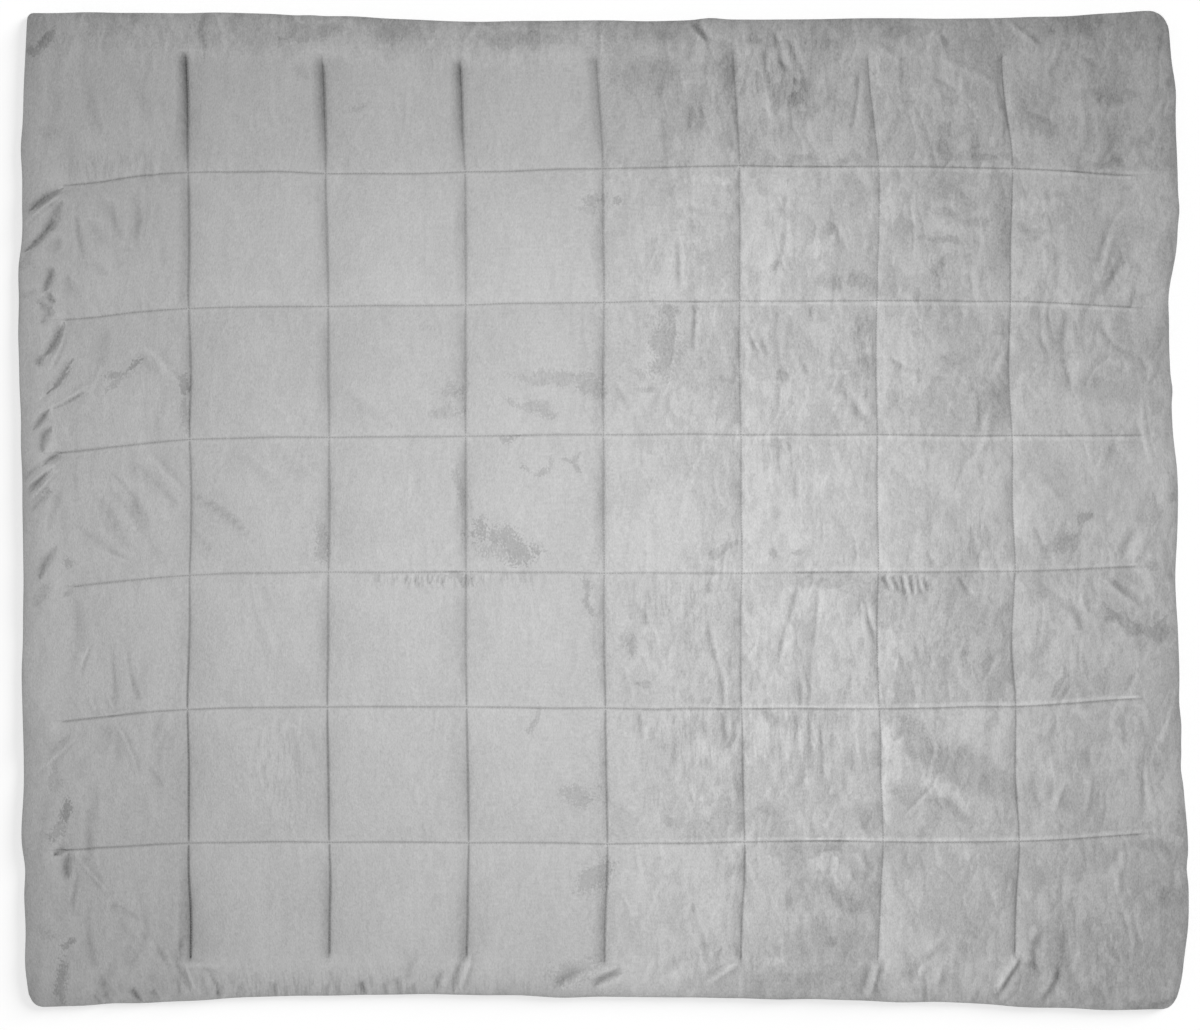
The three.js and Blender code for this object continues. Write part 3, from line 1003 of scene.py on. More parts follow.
def row_line(index):
    """y of a stitch row at any place x."""
    row = STITCH_ROWS[index]
    stations = (row["start"], FIRST_COLUMN, FIRST_COLUMN / 2, 0, LAST_COLUMN / 2, LAST_COLUMN, row["stop"])
    strays = [row[name] for name in ("left", "first", "near_left", "middle", "near_right", "last", "right")]
    curve = smooth_curve(stations, even_row(index) + np.array(strays))

    def at(x):
        return curve(x) + WANDER_RISE * line_noise(x, WANDER_CELL, FIRST_ROW_SEED + index)

    return at


column_lines = [column_line(index) for index in range(len(STITCH_COLUMNS))]
row_lines = [row_line(index) for index in range(len(STITCH_ROWS))]
column_bounds = [left_edge, *column_lines, right_edge]
row_bounds = [bottom_edge, *row_lines, top_edge]


def left_steepness(index):
    """How steep the left shoulder of a stitch column is at any height y."""
    column = STITCH_COLUMNS[index]
    rows = [even_row(row) for row in range(len(STITCH_ROWS))]
    bounds = np.array([column["start"], *rows, column["stop"]])
    return smooth_curve((bounds[1:] + bounds[:-1]) / 2, LEFT_STEEP[index])


left_steep_curves = [left_steepness(index) for index in range(len(STITCH_COLUMNS))]


def stitch_presence(position, start, stop, fade):
    """1 between the two ends of a stitch line, falling to 0 past them."""
    beyond = np.maximum(np.maximum(start - position, position - stop), 0) / fade
    return np.exp(-beyond * beyond)


def flank(distance, shoulder, steep):
    """1 on a stitch line, falling to 0 in the filled cell beside it."""
    near = np.clip(1 - distance / shoulder, 0, 1) ** 2
    wide = np.exp(-distance / WIDE_FLANK)
    return steep * near + (1 - steep) * wide


def free_of_columns(x, y):
    """How free the stitch columns leave the cloth to rise: 0 on a column, 1 far from all."""
    free = np.ones_like(x)
    for index, column in enumerate(STITCH_COLUMNS):
        presence = stitch_presence(y, column["start"], column["stop"], COLUMN_END_FADE)
        offset = x - column_lines[index](y)
        sides = COLUMN_SHOULDERS[index]
        shoulder = np.where(offset < 0, sides["left"], sides["right"])
        steep = np.where(offset < 0, left_steep_curves[index](y), sides["right_steep"])
        free *= 1 - presence * flank(np.abs(offset), shoulder, steep)
    return free


def free_of_rows(x, y):
    """How free the stitch rows leave the cloth to rise: 0 on a row, 1 far from all."""
    free = np.ones_like(x)
    for index, row in enumerate(STITCH_ROWS):
        presence = stitch_presence(x, row["start"], row["stop"], ROW_END_FADE)
        offset = y - row_lines[index](x)
        free *= 1 - presence * flank(np.abs(offset), ROW_SHOULDER, ROW_STEEP)
    return free


def column_crease(x, y):
    """1 in the crease of a stitch column, 0 away from it."""
    crease = np.zeros_like(x)
    for index, column in enumerate(STITCH_COLUMNS):
        presence = stitch_presence(y, column["start"], column["stop"], CREASE_END_FADE)
        crease = np.maximum(crease, presence * bump(x, column_lines[index](y), CREASE_WIDTH))
    return crease


def near_rows(x, y, shares, inward, reach):
    """Each row's share on a line beside it, this far inward, and 0 away from all those lines."""
    near = np.zeros_like(x)
    for index, row in enumerate(STITCH_ROWS):
        presence = shares[index] * stitch_presence(x, row["start"], row["stop"], CREASE_END_FADE)
        offset = math.copysign(inward, ROWS_MIDDLE_Y - even_row(index))
        near = np.maximum(near, presence * bump(y, row_lines[index](x) + offset, reach))
    return near


def row_crease(x, y):
    """Each row's pull in the crease of that row, 0 away from it."""
    return near_rows(x, y, STITCH_ROWS["pull"], 0, CREASE_WIDTH)


def row_nearness(x, y):
    """1 on a stitch row, 0 away from all rows."""
    return near_rows(x, y, np.ones(len(STITCH_ROWS)), 0, CROSSING_REACH)


def painted_rim_highlight(x, y):
    """How strong the painted highlight on the rim beside a stitch row is, 0 away from it."""
    rim = near_rows(x, y, STITCH_ROWS["rim"], RIM_DISTANCE, RIM_WIDTH)
    return rim * (RIM_LEAST + (1 - RIM_LEAST) * smooth_step(RIM_FROM_X, RIM_TO_X, x))


def place_on_fold(fold, x, y):
    """Share of the way along a fold, and how many of its widths a point lies beside it."""
    run_x = fold["to_x"] - fold["x"]
    run_y = fold["to_y"] - fold["y"]
    length = math.hypot(run_x, run_y)
    along = np.clip(((x - fold["x"]) * run_x + (y - fold["y"]) * run_y) / length ** 2, 0, 1)
    left_of_run = ((y - fold["y"]) * run_x - (x - fold["x"]) * run_y) / length
    across = (left_of_run - fold["bend"] * np.sin(math.pi * along)) / fold["width"]
    return along, across


def wrinkle_heights(x, y):
    """Height of the chance wrinkles: swells that meet in creases, and softer ones in the left border."""
    bent_x, bent_y = bent_by_noise(x, y, WRINKLE_BEND, WRINKLE_BEND_CELL, WRINKLE_BEND_SEEDS)
    swells = soft_noise(bent_x, bent_y, WRINKLE_CELL, WRINKLE_SEED)
    border_swells = soft_noise(bent_x, bent_y, BORDER_WRINKLE_CELL, BORDER_WRINKLE_SEED)
    border = 1 - smooth_step(BORDER_WRINKLED_TO_X - EDGE_ROUND, BORDER_WRINKLED_TO_X + EDGE_ROUND, x)
    wide = WRINKLE_RISE * brushed_share(x, y) * np.abs(swells)
    return wide + BORDER_WRINKLE_RISE * border * border_swells


def fold_fullness(along):
    """1 in the middle of a fold, dying out at its two ends."""
    return 1 - np.abs(2 * along - 1) ** FOLD_BLUNTNESS


def fold_heights(x, y):
    """Height that the chance wrinkles and the folds add."""
    height = wrinkle_heights(x, y)
    for fold in FOLDS:
        along, across = place_on_fold(fold, x, y)
        height = height + fold["rise"] * fold_fullness(along) * np.exp(-across * across)
    return height


def fold_cores(x, y):
    """How far inside the slim core of a fold a point lies, beyond 0.5 inside, and the tone of that core."""
    inside = np.zeros_like(x)
    tone = np.zeros_like(x)
    for fold in FOLDS:
        along, across = place_on_fold(fold, x, y)
        half_width = CORE_WIDTH * np.maximum(fold_fullness(along), CORE_SLIMMEST)
        share = np.clip(1 - np.abs(across) / half_width / 2, 0, 1)
        share = np.where((along > 0) & (along < 1), share, 0)
        size = min(abs(fold["rise"]) / CORE_RISE, 1) ** CORE_FALL
        # A core is painted with dark shade in a trough and with a highlight on a ridge
        core_tone = size * CORE_PAINTED_HIGHLIGHT if fold["rise"] > 0 else -size * CORE_PAINTED_SHADE
        tone = np.where(share > inside, core_tone, tone)
        inside = np.maximum(inside, share)
    return inside, tone


def bent_places(x, y):
    """Points moved a little, so that the marks' edges are uneven."""
    return bent_by_noise(x, y, MARK_BEND, MARK_BEND_CELL, MARK_BEND_SEEDS)


def mark_reach(mark, x, y):
    """How far out from the middle of a mark a point lies: 1 on the mark's edge."""
    turn = math.radians(mark["turn"])
    along = ((x - mark["x"]) * math.cos(turn) + (y - mark["y"]) * math.sin(turn)) / mark["long"]
    across = ((y - mark["y"]) * math.cos(turn) - (x - mark["x"]) * math.sin(turn)) / mark["wide"]
    return (np.abs(along) ** MARK_ROUNDNESS + np.abs(across) ** MARK_ROUNDNESS) ** (1 / MARK_ROUNDNESS)


def marks_in_pile(x, y):
    """How far inside a mark in the pile a point lies, beyond 0.5 inside, and the tone of that mark."""
    inside = np.zeros_like(x)
    tone = np.zeros_like(x)
    x, y = bent_places(x, y)
    for mark in MARKS:
        share = np.clip(FADE_END - mark_reach(mark, x, y), 0, MARK_COVER)
        tone = np.where((share > 0) & (share >= inside), mark["strength"], tone)
        inside = np.maximum(inside, share)
    return inside, tone * np.where(tone < 0, MARK_DARKENING, MARK_LIGHTENING)


def part_tone(x, y):
    """Tone of the broad parts that are made lighter or darker."""
    tone = np.zeros_like(x)
    for part in PARTS:
        fade = part["fade"]
        across = smooth_step(-fade, fade, x - part["left"]) * smooth_step(-fade, fade, part["right"] - x)
        up = smooth_step(-fade, fade, y - part["low"]) * smooth_step(-fade, fade, part["high"] - y)
        tone += part["tone"] * across * up
    return tone


def tick_strength(x, y):
    """How strongly the pile is gathered in ticks."""
    strength = np.zeros_like(x)
    for place in TICKS:
        reach = np.hypot((x - place["x"]) / place["wide"], (y - place["y"]) / place["high"])
        strength = np.maximum(strength, place["strength"] * np.clip(FADE_END - reach, 0, 1))
    return strength


def brushed_share(x, y):
    """How far the pile stands up in streaks: most in the right half and at the top, least elsewhere."""
    lively = 1 - CALM_SHARE * bump(y, ROWS_MIDDLE_Y, CALM_REACH)
    right = smooth_step(BRUSHED_FROM_X, BRUSHED_TO_X, x) * lively
    top = smooth_step(-BRUSHED_TOP_BAND, 0, y - top_edge(x))
    return BRUSHED_LEAST + (1 - BRUSHED_LEAST) * np.maximum(right, top)


def edge_rise(distance):
    """Rises along a quarter round from 0 at the seam to 1 inside the rounded edge."""
    remaining = 1 - np.clip(distance / EDGE_ROUND, 0, 1)
    return np.sqrt(1 - remaining * remaining)


def column_height(x, y):
    """Height above the stitches of the cloth that only the stitch columns hold down."""
    uneven = UNEVEN_RISE * soft_noise(x, y, UNEVEN_CELL, UNEVEN_SEED)
    brushed = BRUSHED_RISE * brushed_share(x, y) * soft_noise(x, y, BRUSHED_CELL, BRUSHED_SEED)
    return (LOFT - STITCH_HEIGHT + uneven + brushed) * free_of_columns(x, y)


def quilted_height(x, y):
    """Height of the quilted cloth, before it is folded and its edge is rounded down to the seam."""
    crease = np.maximum(column_crease(x, y), row_crease(x, y))
    cloth = column_height(x, y) * free_of_rows(x, y)
    return STITCH_HEIGHT + cloth - CREASE_DEPTH * crease


def cloth_height(x, y):
    """Height of the upper face above the floor."""
    rise = (
        edge_rise(x - left_edge(y))
        * edge_rise(right_edge(y) - x)
        * edge_rise(y - bottom_edge(x))
        * edge_rise(top_edge(x) - y)
    )
    return SEAM_HEIGHT + (quilted_height(x, y) + fold_heights(x, y) - SEAM_HEIGHT) * rise


def slope_along_x(height, x, y):
    """How steeply a height rises to the right."""
    return (height(x + SLOPE_STEP, y) - height(x - SLOPE_STEP, y)) / (2 * SLOPE_STEP)


def painted_shade_tone(x, y):
    """Painted shade and highlight of slopes, creases and rims, standing for the leaning pile,
    and the tones of the broad parts, as a share of the cloth's colour.
    """
    slope = slope_along_x(column_height, x, y) * free_of_rows(x, y)
    fold_slope = slope_along_x(fold_heights, x, y)
    darkening = np.interp(x, PAINTED_SLOPE_SHADE["x"], PAINTED_SLOPE_SHADE["darkening"])
    lightening = np.interp(x, PAINTED_SLOPE_SHADE["x"], PAINTED_SLOPE_SHADE["lightening"])
    low = smooth_step(LOW_CREASE_FROM_Y, LOW_CREASE_TO_Y, y)
    unbroken = 1 - CROSSING_GAP * row_nearness(x, y)
    crease = np.interp(x, PAINTED_SLOPE_SHADE["x"], PAINTED_SLOPE_SHADE["crease"]) * (1 + LOW_CREASE_GAIN * low) * unbroken
    return (
        lightening * np.clip(slope, 0, SHADE_STEEPEST)
        - darkening * np.clip(-slope, 0, SHADE_STEEPEST)
        + FOLD_PAINTED_HIGHLIGHT * np.clip(fold_slope, 0, SHADE_STEEPEST)
        - FOLD_PAINTED_SHADE * np.clip(-fold_slope, 0, SHADE_STEEPEST)
        - crease * column_crease(x, y)
        - ROW_CREASE_PAINTED_SHADE * row_crease(x, y)
        + RIM_PAINTED_HIGHLIGHT * painted_rim_highlight(x, y)
        + part_tone(x, y)
    )


def band_places(width):
    """Places of a band's grid lines as shares of its width: close by its two bounds and wider between."""
    near = np.concatenate([[0.0], np.cumsum(FINE_STEPS)])
    count = round((width - 2 * near[-1]) / GRID_STEP)
    middle = np.linspace(near[-1], width - near[-1], count + 1)
    return np.concatenate([near[:-1], middle, width - near[-2:0:-1]]) / width


def grid_lines(widths):
    """Places of one direction's grid lines, split ones too: a band's number plus a share of its width."""
    bands = [band + band_places(width) for band, width in enumerate(widths)]
    whole = np.concatenate([*bands, [len(widths)]])
    steps = np.arange((len(whole) - 1) * SPLIT + 1) / SPLIT
    return np.interp(steps, np.arange(len(whole)), whole)


def place_in_bands(bounds, lines, positions):
    """Where grid lines run between the two bounds of their bands, one line to a column of positions."""
    places = np.empty_like(positions)
    bands = np.minimum(lines.astype(int), len(bounds) - 2)
    for band in range(len(bounds) - 1):
        chosen = bands == band
        low = bounds[band](positions[:, chosen])
        high = bounds[band + 1](positions[:, chosen])
        places[:, chosen] = low + (lines[chosen] - band) * (high - low)
    return places


def cloth_grid():
    """x and y of the crossings of all grid lines, found by stepping from one direction to the other."""
    side_border = LENGTH / 2 - LAST_COLUMN
    end_border = WIDTH / 2 - HIGHEST_ROW
    between_columns = [COLUMN_PITCH] * (len(STITCH_COLUMNS) - 1)
    between_rows = [ROW_PITCH] * (len(STITCH_ROWS) - 1)
    columns = grid_lines([side_border, *between_columns, side_border])
    rows = grid_lines([end_border, *between_rows, end_border])
    y = np.zeros((len(rows), len(columns)))
    x = np.zeros_like(y)
    for _ in range(CROSSING_STEPS):
        x = place_in_bands(column_bounds, columns, y)
        y = place_in_bands(row_bounds, rows, x.T).T
    return x, y


def holds_detail(x, y):
    """Whether a point lies by a slim fold or a slim mark."""
    detail = np.zeros(x.shape, bool)
    for fold in FOLDS[FOLDS["width"] < SPLIT_FOLD_WIDTH]:
        along, across = place_on_fold(fold, x, y)
        detail |= (along > 0) & (along < 1) & (np.abs(across) < SPLIT_REACH)
    x, y = bent_places(x, y)
    for mark in MARKS[MARKS["wide"] < SPLIT_MARK_WIDTH]:
        detail |= mark_reach(mark, x, y) < SPLIT_REACH
    return detail


def split_cells(x, y):
    """Which cells of the grid are split: those with a corner that holds detail."""
    detail = holds_detail(x[::SPLIT, ::SPLIT], y[::SPLIT, ::SPLIT])
    return detail[:-1, :-1] | detail[:-1, 1:] | detail[1:, 1:] | detail[1:, :-1]


def kept_points(split, shape):
    """Which crossings are points of the mesh: all those in split cells and the corners of the others."""
    kept = np.zeros(shape, bool)
    kept[::SPLIT, ::SPLIT] = True
    for row, column in np.argwhere(split) * SPLIT:
        kept[row:row + SPLIT + 1, column:column + SPLIT + 1] = True
    return kept


def edge_loop(shape):
    """Row and column numbers of the grid points round the edge, counter-clockwise from the bottom left."""
    rows, columns = shape
    up = np.arange(rows - 1)
    across = np.arange(columns - 1)
    loop_rows = np.concatenate([0 * across, up, 0 * across + rows - 1, rows - 1 - up])
    loop_columns = np.concatenate([across, 0 * up + columns - 1, columns - 1 - across, 0 * up])
    return loop_rows, loop_columns


def grid_faces(split, kept, numbers):
    """Faces of the grid: small ones in split cells, and one round the rim of each other cell."""
    row, column = np.nonzero(np.kron(split, np.ones((SPLIT, SPLIT), int)))
    corners = ((row, column), (row, column + 1), (row + 1, column + 1), (row + 1, column))
    small = np.stack([numbers[corner] for corner in corners], axis=-1)
    row, column = np.nonzero(~split)
    rim_rows, rim_columns = edge_loop((SPLIT + 1, SPLIT + 1))
    rims = (row[:, None] * SPLIT + rim_rows, column[:, None] * SPLIT + rim_columns)
    whole = [cell[used].tolist() for cell, used in zip(numbers[rims], kept[rims])]
    return small.tolist() + whole


def round_corner(side, end, side_sign, end_sign, radius):
    """How far the points near a square corner move so that the corner becomes an arc."""
    near = (side < radius) & (end < radius)
    across = np.where(near, 1 - side / radius, 0)
    up = np.where(near, 1 - end / radius, 0)
    moved_x = across * (np.sqrt(1 - up * up / 2) - 1)
    moved_y = up * (np.sqrt(1 - across * across / 2) - 1)
    return side_sign * radius * moved_x, end_sign * radius * moved_y


def round_corners(x, y):
    """The same points with all four corners rounded."""
    left = x - left_edge(y)
    right = right_edge(y) - x
    bottom = y - bottom_edge(x)
    top = top_edge(x) - y
    moves = (
        round_corner(left, top, -1, 1, TOP_LEFT_RADIUS),
        round_corner(right, top, 1, 1, TOP_RIGHT_RADIUS),
        round_corner(left, bottom, -1, -1, BOTTOM_LEFT_RADIUS),
        round_corner(right, bottom, 1, -1, BOTTOM_RIGHT_RADIUS),
    )
    return x + sum(move[0] for move in moves), y + sum(move[1] for move in moves)


def add_mesh(name, points, faces):
    """A smooth mesh object from points in millimetres."""
    mesh = bpy.data.meshes.new(name)
    mesh.from_pydata((points * MM).tolist(), [], faces)
    mesh.shade_smooth()
    piece = bpy.data.objects.new(name, mesh)
    bpy.context.scene.collection.objects.link(piece)
    return piece


def add_values(piece, name, values):
    """A value for each point of a mesh, which its material reads by name."""
    attribute = piece.data.attributes.new(name, "FLOAT", "POINT")
    attribute.data.foreach_set("value", values.astype(np.float32))


def seam_ring(kept, numbers):
    """Numbers of the points round the edge, in order, and which way is inward from each."""
    rows, columns = edge_loop(kept.shape)
    on_edge = kept[rows, columns]
    rows = rows[on_edge]
    columns = columns[on_edge]
    inward_x = np.where(columns == 0, 1, 0) - np.where(columns == kept.shape[1] - 1, 1, 0)
    inward_y = np.where(rows == 0, 1, 0) - np.where(rows == kept.shape[0] - 1, 1, 0)
    return numbers[rows, columns], np.stack([inward_x, inward_y], axis=-1)


def turned_edge(seam, inward, ring, count):
    """Points and faces from the seam, whose points have the numbers in ring, in to the floor and the middle.

    The new points are numbered on from count."""
    points = []
    faces = []
    for inset, height in UNDER_RINGS:
        under = np.column_stack([seam[:, :2] + inset * inward, np.full(len(seam), height)])
        lower = count + np.arange(len(under))
        faces += np.stack([ring, lower, np.roll(lower, -1), np.roll(ring, -1)], axis=-1).tolist()
        points.append(under)
        ring = lower
        count += len(under)
    points.append(np.zeros((1, 3)))
    faces += np.stack([np.roll(ring, -1), ring, np.full(len(ring), count)], axis=-1).tolist()
    return np.concatenate(points), faces


def shift_to_frame(points):
    """How far the whole is moved to sit in the middle of its frame."""
    low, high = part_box(BLANKET_NODE)
    middle = np.array((low + high) / 2) / MM
    shift = middle - (points.min(axis=0) + points.max(axis=0)) / 2
    shift[2] = 0
    return shift


def pile_values(x, y):
    """What the material of the plush reads at each point of the upper face, by name."""
    core, core_tone = fold_cores(x, y)
    mark, mark_tone = marks_in_pile(x, y)
    return {
        "painted_shade": painted_shade_tone(x, y),
        "brushed": brushed_share(x, y),
        "core": core,
        "core_tone": core_tone,
        "mark": mark,
        "mark_tone": mark_tone,
        "ticks": tick_strength(x, y),
    }


def add_blanket():
    """The blanket's cloth as one closed mesh: its quilted upper face, turned edge and flat underside.

    Returns the piece and how far the whole was moved to sit in the middle of its frame."""
    x, y = cloth_grid()
    split = split_cells(x, y)
    kept = kept_points(split, x.shape)
    numbers = np.cumsum(kept).reshape(kept.shape) - 1
    x = x[kept]
    y = y[kept]
    top = np.stack([*round_corners(x, y), cloth_height(x, y)], axis=-1)
    top_faces = grid_faces(split, kept, numbers)
    ring, inward = seam_ring(kept, numbers)
    under, under_faces = turned_edge(top[ring], inward, ring, len(top))

    points = np.concatenate([top, under])
    faces = top_faces + under_faces
    shift = shift_to_frame(points)
    piece = add_mesh("blanket_cloth", points + shift, faces)
    for name, on_top in pile_values(x, y).items():
        add_values(piece, name, np.append(on_top, np.zeros(len(under))))
    piece.data.materials.append(plush_material())
    piece.data.materials.append(pile_back_material())
    slots = np.ones(len(faces), dtype=np.int32)
    slots[:len(top_faces) + len(ring)] = 0
    piece.data.polygons.foreach_set("material_index", slots)
    return piece, shift


def stitch_places(line, start, stop, runs_across):
    """Middle and direction of each stitch on one line."""
    count = round((stop - start) / STITCH_PITCH)
    along = start + (np.arange(count) + 0.5) * (stop - start) / count
    sides = (along - STITCH_PITCH / 2, along + STITCH_PITCH / 2)
    ends = [np.stack([side, line(side)]) for side in sides]
    if not runs_across:
        ends = [end[::-1] for end in ends]
    middle = (ends[0] + ends[1]) / 2
    direction = (ends[1] - ends[0]) / np.hypot(*(ends[1] - ends[0]))
    return middle, direction


def stitch_points(middle, direction, seed):
    """Points of all stitches: for each stitch its rings, each with its sides."""
    count = middle.shape[1]
    turn = np.random.default_rng(seed).normal(0, STITCH_TURN, count)
    along_x = direction[0] * np.cos(turn) - direction[1] * np.sin(turn)
    along_y = direction[0] * np.sin(turn) + direction[1] * np.cos(turn)
    base = cloth_height(middle[0], middle[1])
    angles = np.arange(THREAD_SIDES) * 2 * math.pi / THREAD_SIDES
    points = np.empty((count, len(STITCH_RINGS), THREAD_SIDES, 3))
    for number, ring in enumerate(STITCH_RINGS):
        reach = ring["along"] * STITCH_LENGTH / 2
        sideways = THREAD_RADIUS * ring["radius"] * np.cos(angles)
        upward = THREAD_RADIUS * ring["radius"] * np.sin(angles)
        points[:, number, :, 0] = (middle[0] + reach * along_x)[:, None] - along_y[:, None] * sideways
        points[:, number, :, 1] = (middle[1] + reach * along_y)[:, None] + along_x[:, None] * sideways
        points[:, number, :, 2] = base[:, None] + ring["lift"] + upward
    return points.reshape(-1, 3)


def stitch_faces(count):
    """Faces of this many stitches: the walls between their rings and a cap at each end."""
    side = np.arange(THREAD_SIDES)
    next_side = np.roll(side, -1)
    walls = []
    for number in range(len(STITCH_RINGS) - 1):
        near = number * THREAD_SIDES
        far = near + THREAD_SIDES
        walls += np.stack([near + side, near + next_side, far + next_side, far + side], axis=-1).tolist()
    per_stitch = len(STITCH_RINGS) * THREAD_SIDES
    starts = np.arange(count)[:, None] * per_stitch
    all_walls = (np.array(walls)[None] + starts[:, :, None]).reshape(-1, 4)
    first_caps = starts + side[::-1]
    last_caps = starts + per_stitch - THREAD_SIDES + side
    return all_walls.tolist() + first_caps.tolist() + last_caps.tolist()


def add_stitching(name, lines, limits, runs_across, shift, seed):
    """All the stitches of one direction as one joined mesh of small rounded lengths of thread."""
    placed = [
        stitch_places(line, limit["start"], limit["stop"], runs_across)
        for line, limit in zip(lines, limits)
    ]
    middle = np.concatenate([place[0] for place in placed], axis=1)
    direction = np.concatenate([place[1] for place in placed], axis=1)
    points = stitch_points(middle, direction, seed)
    piece = add_mesh(name, points + shift, stitch_faces(middle.shape[1]))
    piece.data.materials.append(thread_material())
    return piece


def feed(tree, socket, value):
    """Links another node's output to a socket, or sets the socket to a plain value."""
    if isinstance(value, bpy.types.NodeSocket):
        tree.links.new(value, socket)
    else:
        socket.default_value = value


def calculate(tree, operation, first, second):
    """The result of one sum on two values."""
    node = tree.nodes.new("ShaderNodeMath")
    node.operation = operation
    feed(tree, node.inputs[0], first)
    feed(tree, node.inputs[1], second)
    return node.outputs[0]


def spread(tree, value, low, high):
    """A value between 0 and 1 spread from low to high."""
    node = tree.nodes.new("ShaderNodeMapRange")
    feed(tree, node.inputs["Value"], value)
    node.inputs["To Min"].default_value = low
    node.inputs["To Max"].default_value = high
    return node.outputs["Result"]


def step_up(tree, value, low, high):
    """0 where a value is below low, 1 above high, and smooth between."""
    node = tree.nodes.new("ShaderNodeMapRange")
    node.interpolation_type = "SMOOTHSTEP"
    feed(tree, node.inputs["Value"], value)
    node.inputs["From Min"].default_value = low
    node.inputs["From Max"].default_value = high
    return node.outputs["Result"]


def grain(tree, cell, detail, warp=0, shift=0):
    """Chance swells between 0 and 1 over a piece, about one cell of millimetres apart along x, y and z."""
    place = tree.nodes.new("ShaderNodeTexCoord").outputs["Object"]
    mapping = tree.nodes.new("ShaderNodeMapping")
    feed(tree, mapping.inputs["Vector"], place)
    mapping.inputs["Scale"].default_value = [1 / (size * MM) for size in cell]
    mapping.inputs["Location"].default_value[0] = shift / cell[0]
    noise = tree.nodes.new("ShaderNodeTexNoise")
    feed(tree, noise.inputs["Vector"], mapping.outputs["Vector"])
    noise.inputs["Scale"].default_value = 1
    noise.inputs["Detail"].default_value = detail
    noise.inputs["Distortion"].default_value = warp
    return noise.outputs["Fac"]


def piece_value(tree, name):
    """The value that a mesh's points carry under this name."""
    node = tree.nodes.new("ShaderNodeAttribute")
    node.attribute_name = name
    return node.outputs["Fac"]


def add_bump(tree, shader, height, depth):
    """Fine relief of the given depth in millimetres."""
    relief = tree.nodes.new("ShaderNodeBump")
    relief.inputs["Distance"].default_value = depth * MM
    feed(tree, relief.inputs["Height"], height)
    feed(tree, shader.inputs["Normal"], relief.outputs["Normal"])


def new_material(name):
    """A material with its nodes and its shader."""
    material = bpy.data.materials.new(name)
    material.use_nodes = True
    tree = material.node_tree
    return material, tree, tree.nodes["Principled BSDF"]


# Plush: its grey, its fine grain and small tufts, and how much stronger they are where it is brushed
PLUSH_GREY = 0.47
PLUSH_SHEEN = 0.15
PLUSH_SHEEN_ROUGHNESS = 0.5
PLUSH_SPECULAR = 0.1
GRAIN_CELL = (1.5, 3.0, 3)
GRAIN_TONE = 0.15
TUFT_CELL = (3.2, 6, 6)
TUFT_TONE = 0.1
BRUSHED_GAIN = 0.8
PLUSH_ROUGHNESS = (0.8, 0.98)
PLUSH_BUMP = 0.6

# Chance streaks and patches of the brushed pile, the painted shade and highlight of its chance creases,
# and the ticks where it is gathered
STREAK_CELL = (9, 23, 30)
STREAK_WARP = 0.6
STREAK_TONE = 0.06
PATCH_CELL = (60, 85, 60)
PATCH_FEATHER = 0.9
PATCH_LIMITS = (0.4, 0.6)
PATCH_TONE = 0.12
SHADE_CELL = (42, 60, 50)
SHADE_TONE = 0.13
CREASE_CELL = (40, 75, 60)
CREASE_STEP = 3
CREASE_PAINTED_SHADE = 0.55
CREASE_WARP = 0.8
TICK_CELL = (3.4, 24, 20)
TICK_LIMITS = (0.5, 0.62)
TICK_TONE = 0.2

# How ragged and how soft the edges of the marks in the pile and of the folds' cores are
SPECKLE_CELL = (2.6, 3.2, 3)
RAGGED_BY_STREAKS = 1.1
RAGGED_BY_SPECKLES = 1.4
SPECKLED_UP_TO = 1.25
MARK_LIMITS = (0.2, 0.8)
CORE_RAGGED = 0.25
CORE_LIMITS = (0.1, 0.9)


def fine_tone(tree, fine, tufts, brushed):
    """Tone of the grain and the tufts."""
    speckle = calculate(
        tree, "ADD", spread(tree, fine, -GRAIN_TONE, GRAIN_TONE), spread(tree, tufts, -TUFT_TONE, TUFT_TONE)
    )
    gain = calculate(tree, "ADD", calculate(tree, "MULTIPLY", brushed, BRUSHED_GAIN), 1)
    return calculate(tree, "MULTIPLY", speckle, gain)


def creases(tree):
    """Chance creases as they look in light from the side: dark on one side and light on the other."""
    sides = []
    for shift in (0, CREASE_STEP):
        swells = grain(tree, CREASE_CELL, detail=1, warp=CREASE_WARP, shift=shift)
        sides.append(calculate(tree, "ABSOLUTE", spread(tree, swells, -1, 1), 0))
    return calculate(tree, "SUBTRACT", sides[1], sides[0])


def brushed_tone(tree, streaks, brushed):
    """Tone of the chance streaks and patches, and the painted shade and highlight of the creases."""
    feather = spread(tree, streaks, -PATCH_FEATHER / 2, PATCH_FEATHER / 2)
    ragged = calculate(tree, "ADD", grain(tree, PATCH_CELL, detail=2), feather)
    patches = step_up(tree, ragged, *PATCH_LIMITS)
    parts = (
        spread(tree, patches, -PATCH_TONE / 2, PATCH_TONE / 2),
        spread(tree, grain(tree, SHADE_CELL, detail=4), -SHADE_TONE, SHADE_TONE),
        calculate(tree, "MULTIPLY", creases(tree), CREASE_PAINTED_SHADE),
    )
    tone = spread(tree, streaks, -STREAK_TONE, STREAK_TONE)
    for part in parts:
        tone = calculate(tree, "ADD", tone, part)
    return calculate(tree, "MULTIPLY", tone, brushed)


def ragged_edge(tree, streaks, brushed):
    """How far streaks and speckles push the edge of a mark: speckles less where the pile is brushed."""
    speckles = grain(tree, SPECKLE_CELL, detail=1)
    speckles = spread(tree, speckles, -RAGGED_BY_SPECKLES, RAGGED_BY_SPECKLES)
    speckles = calculate(tree, "MULTIPLY", speckles, calculate(tree, "SUBTRACT", SPECKLED_UP_TO, brushed))
    return calculate(tree, "ADD", spread(tree, streaks, -RAGGED_BY_STREAKS, RAGGED_BY_STREAKS), speckles)


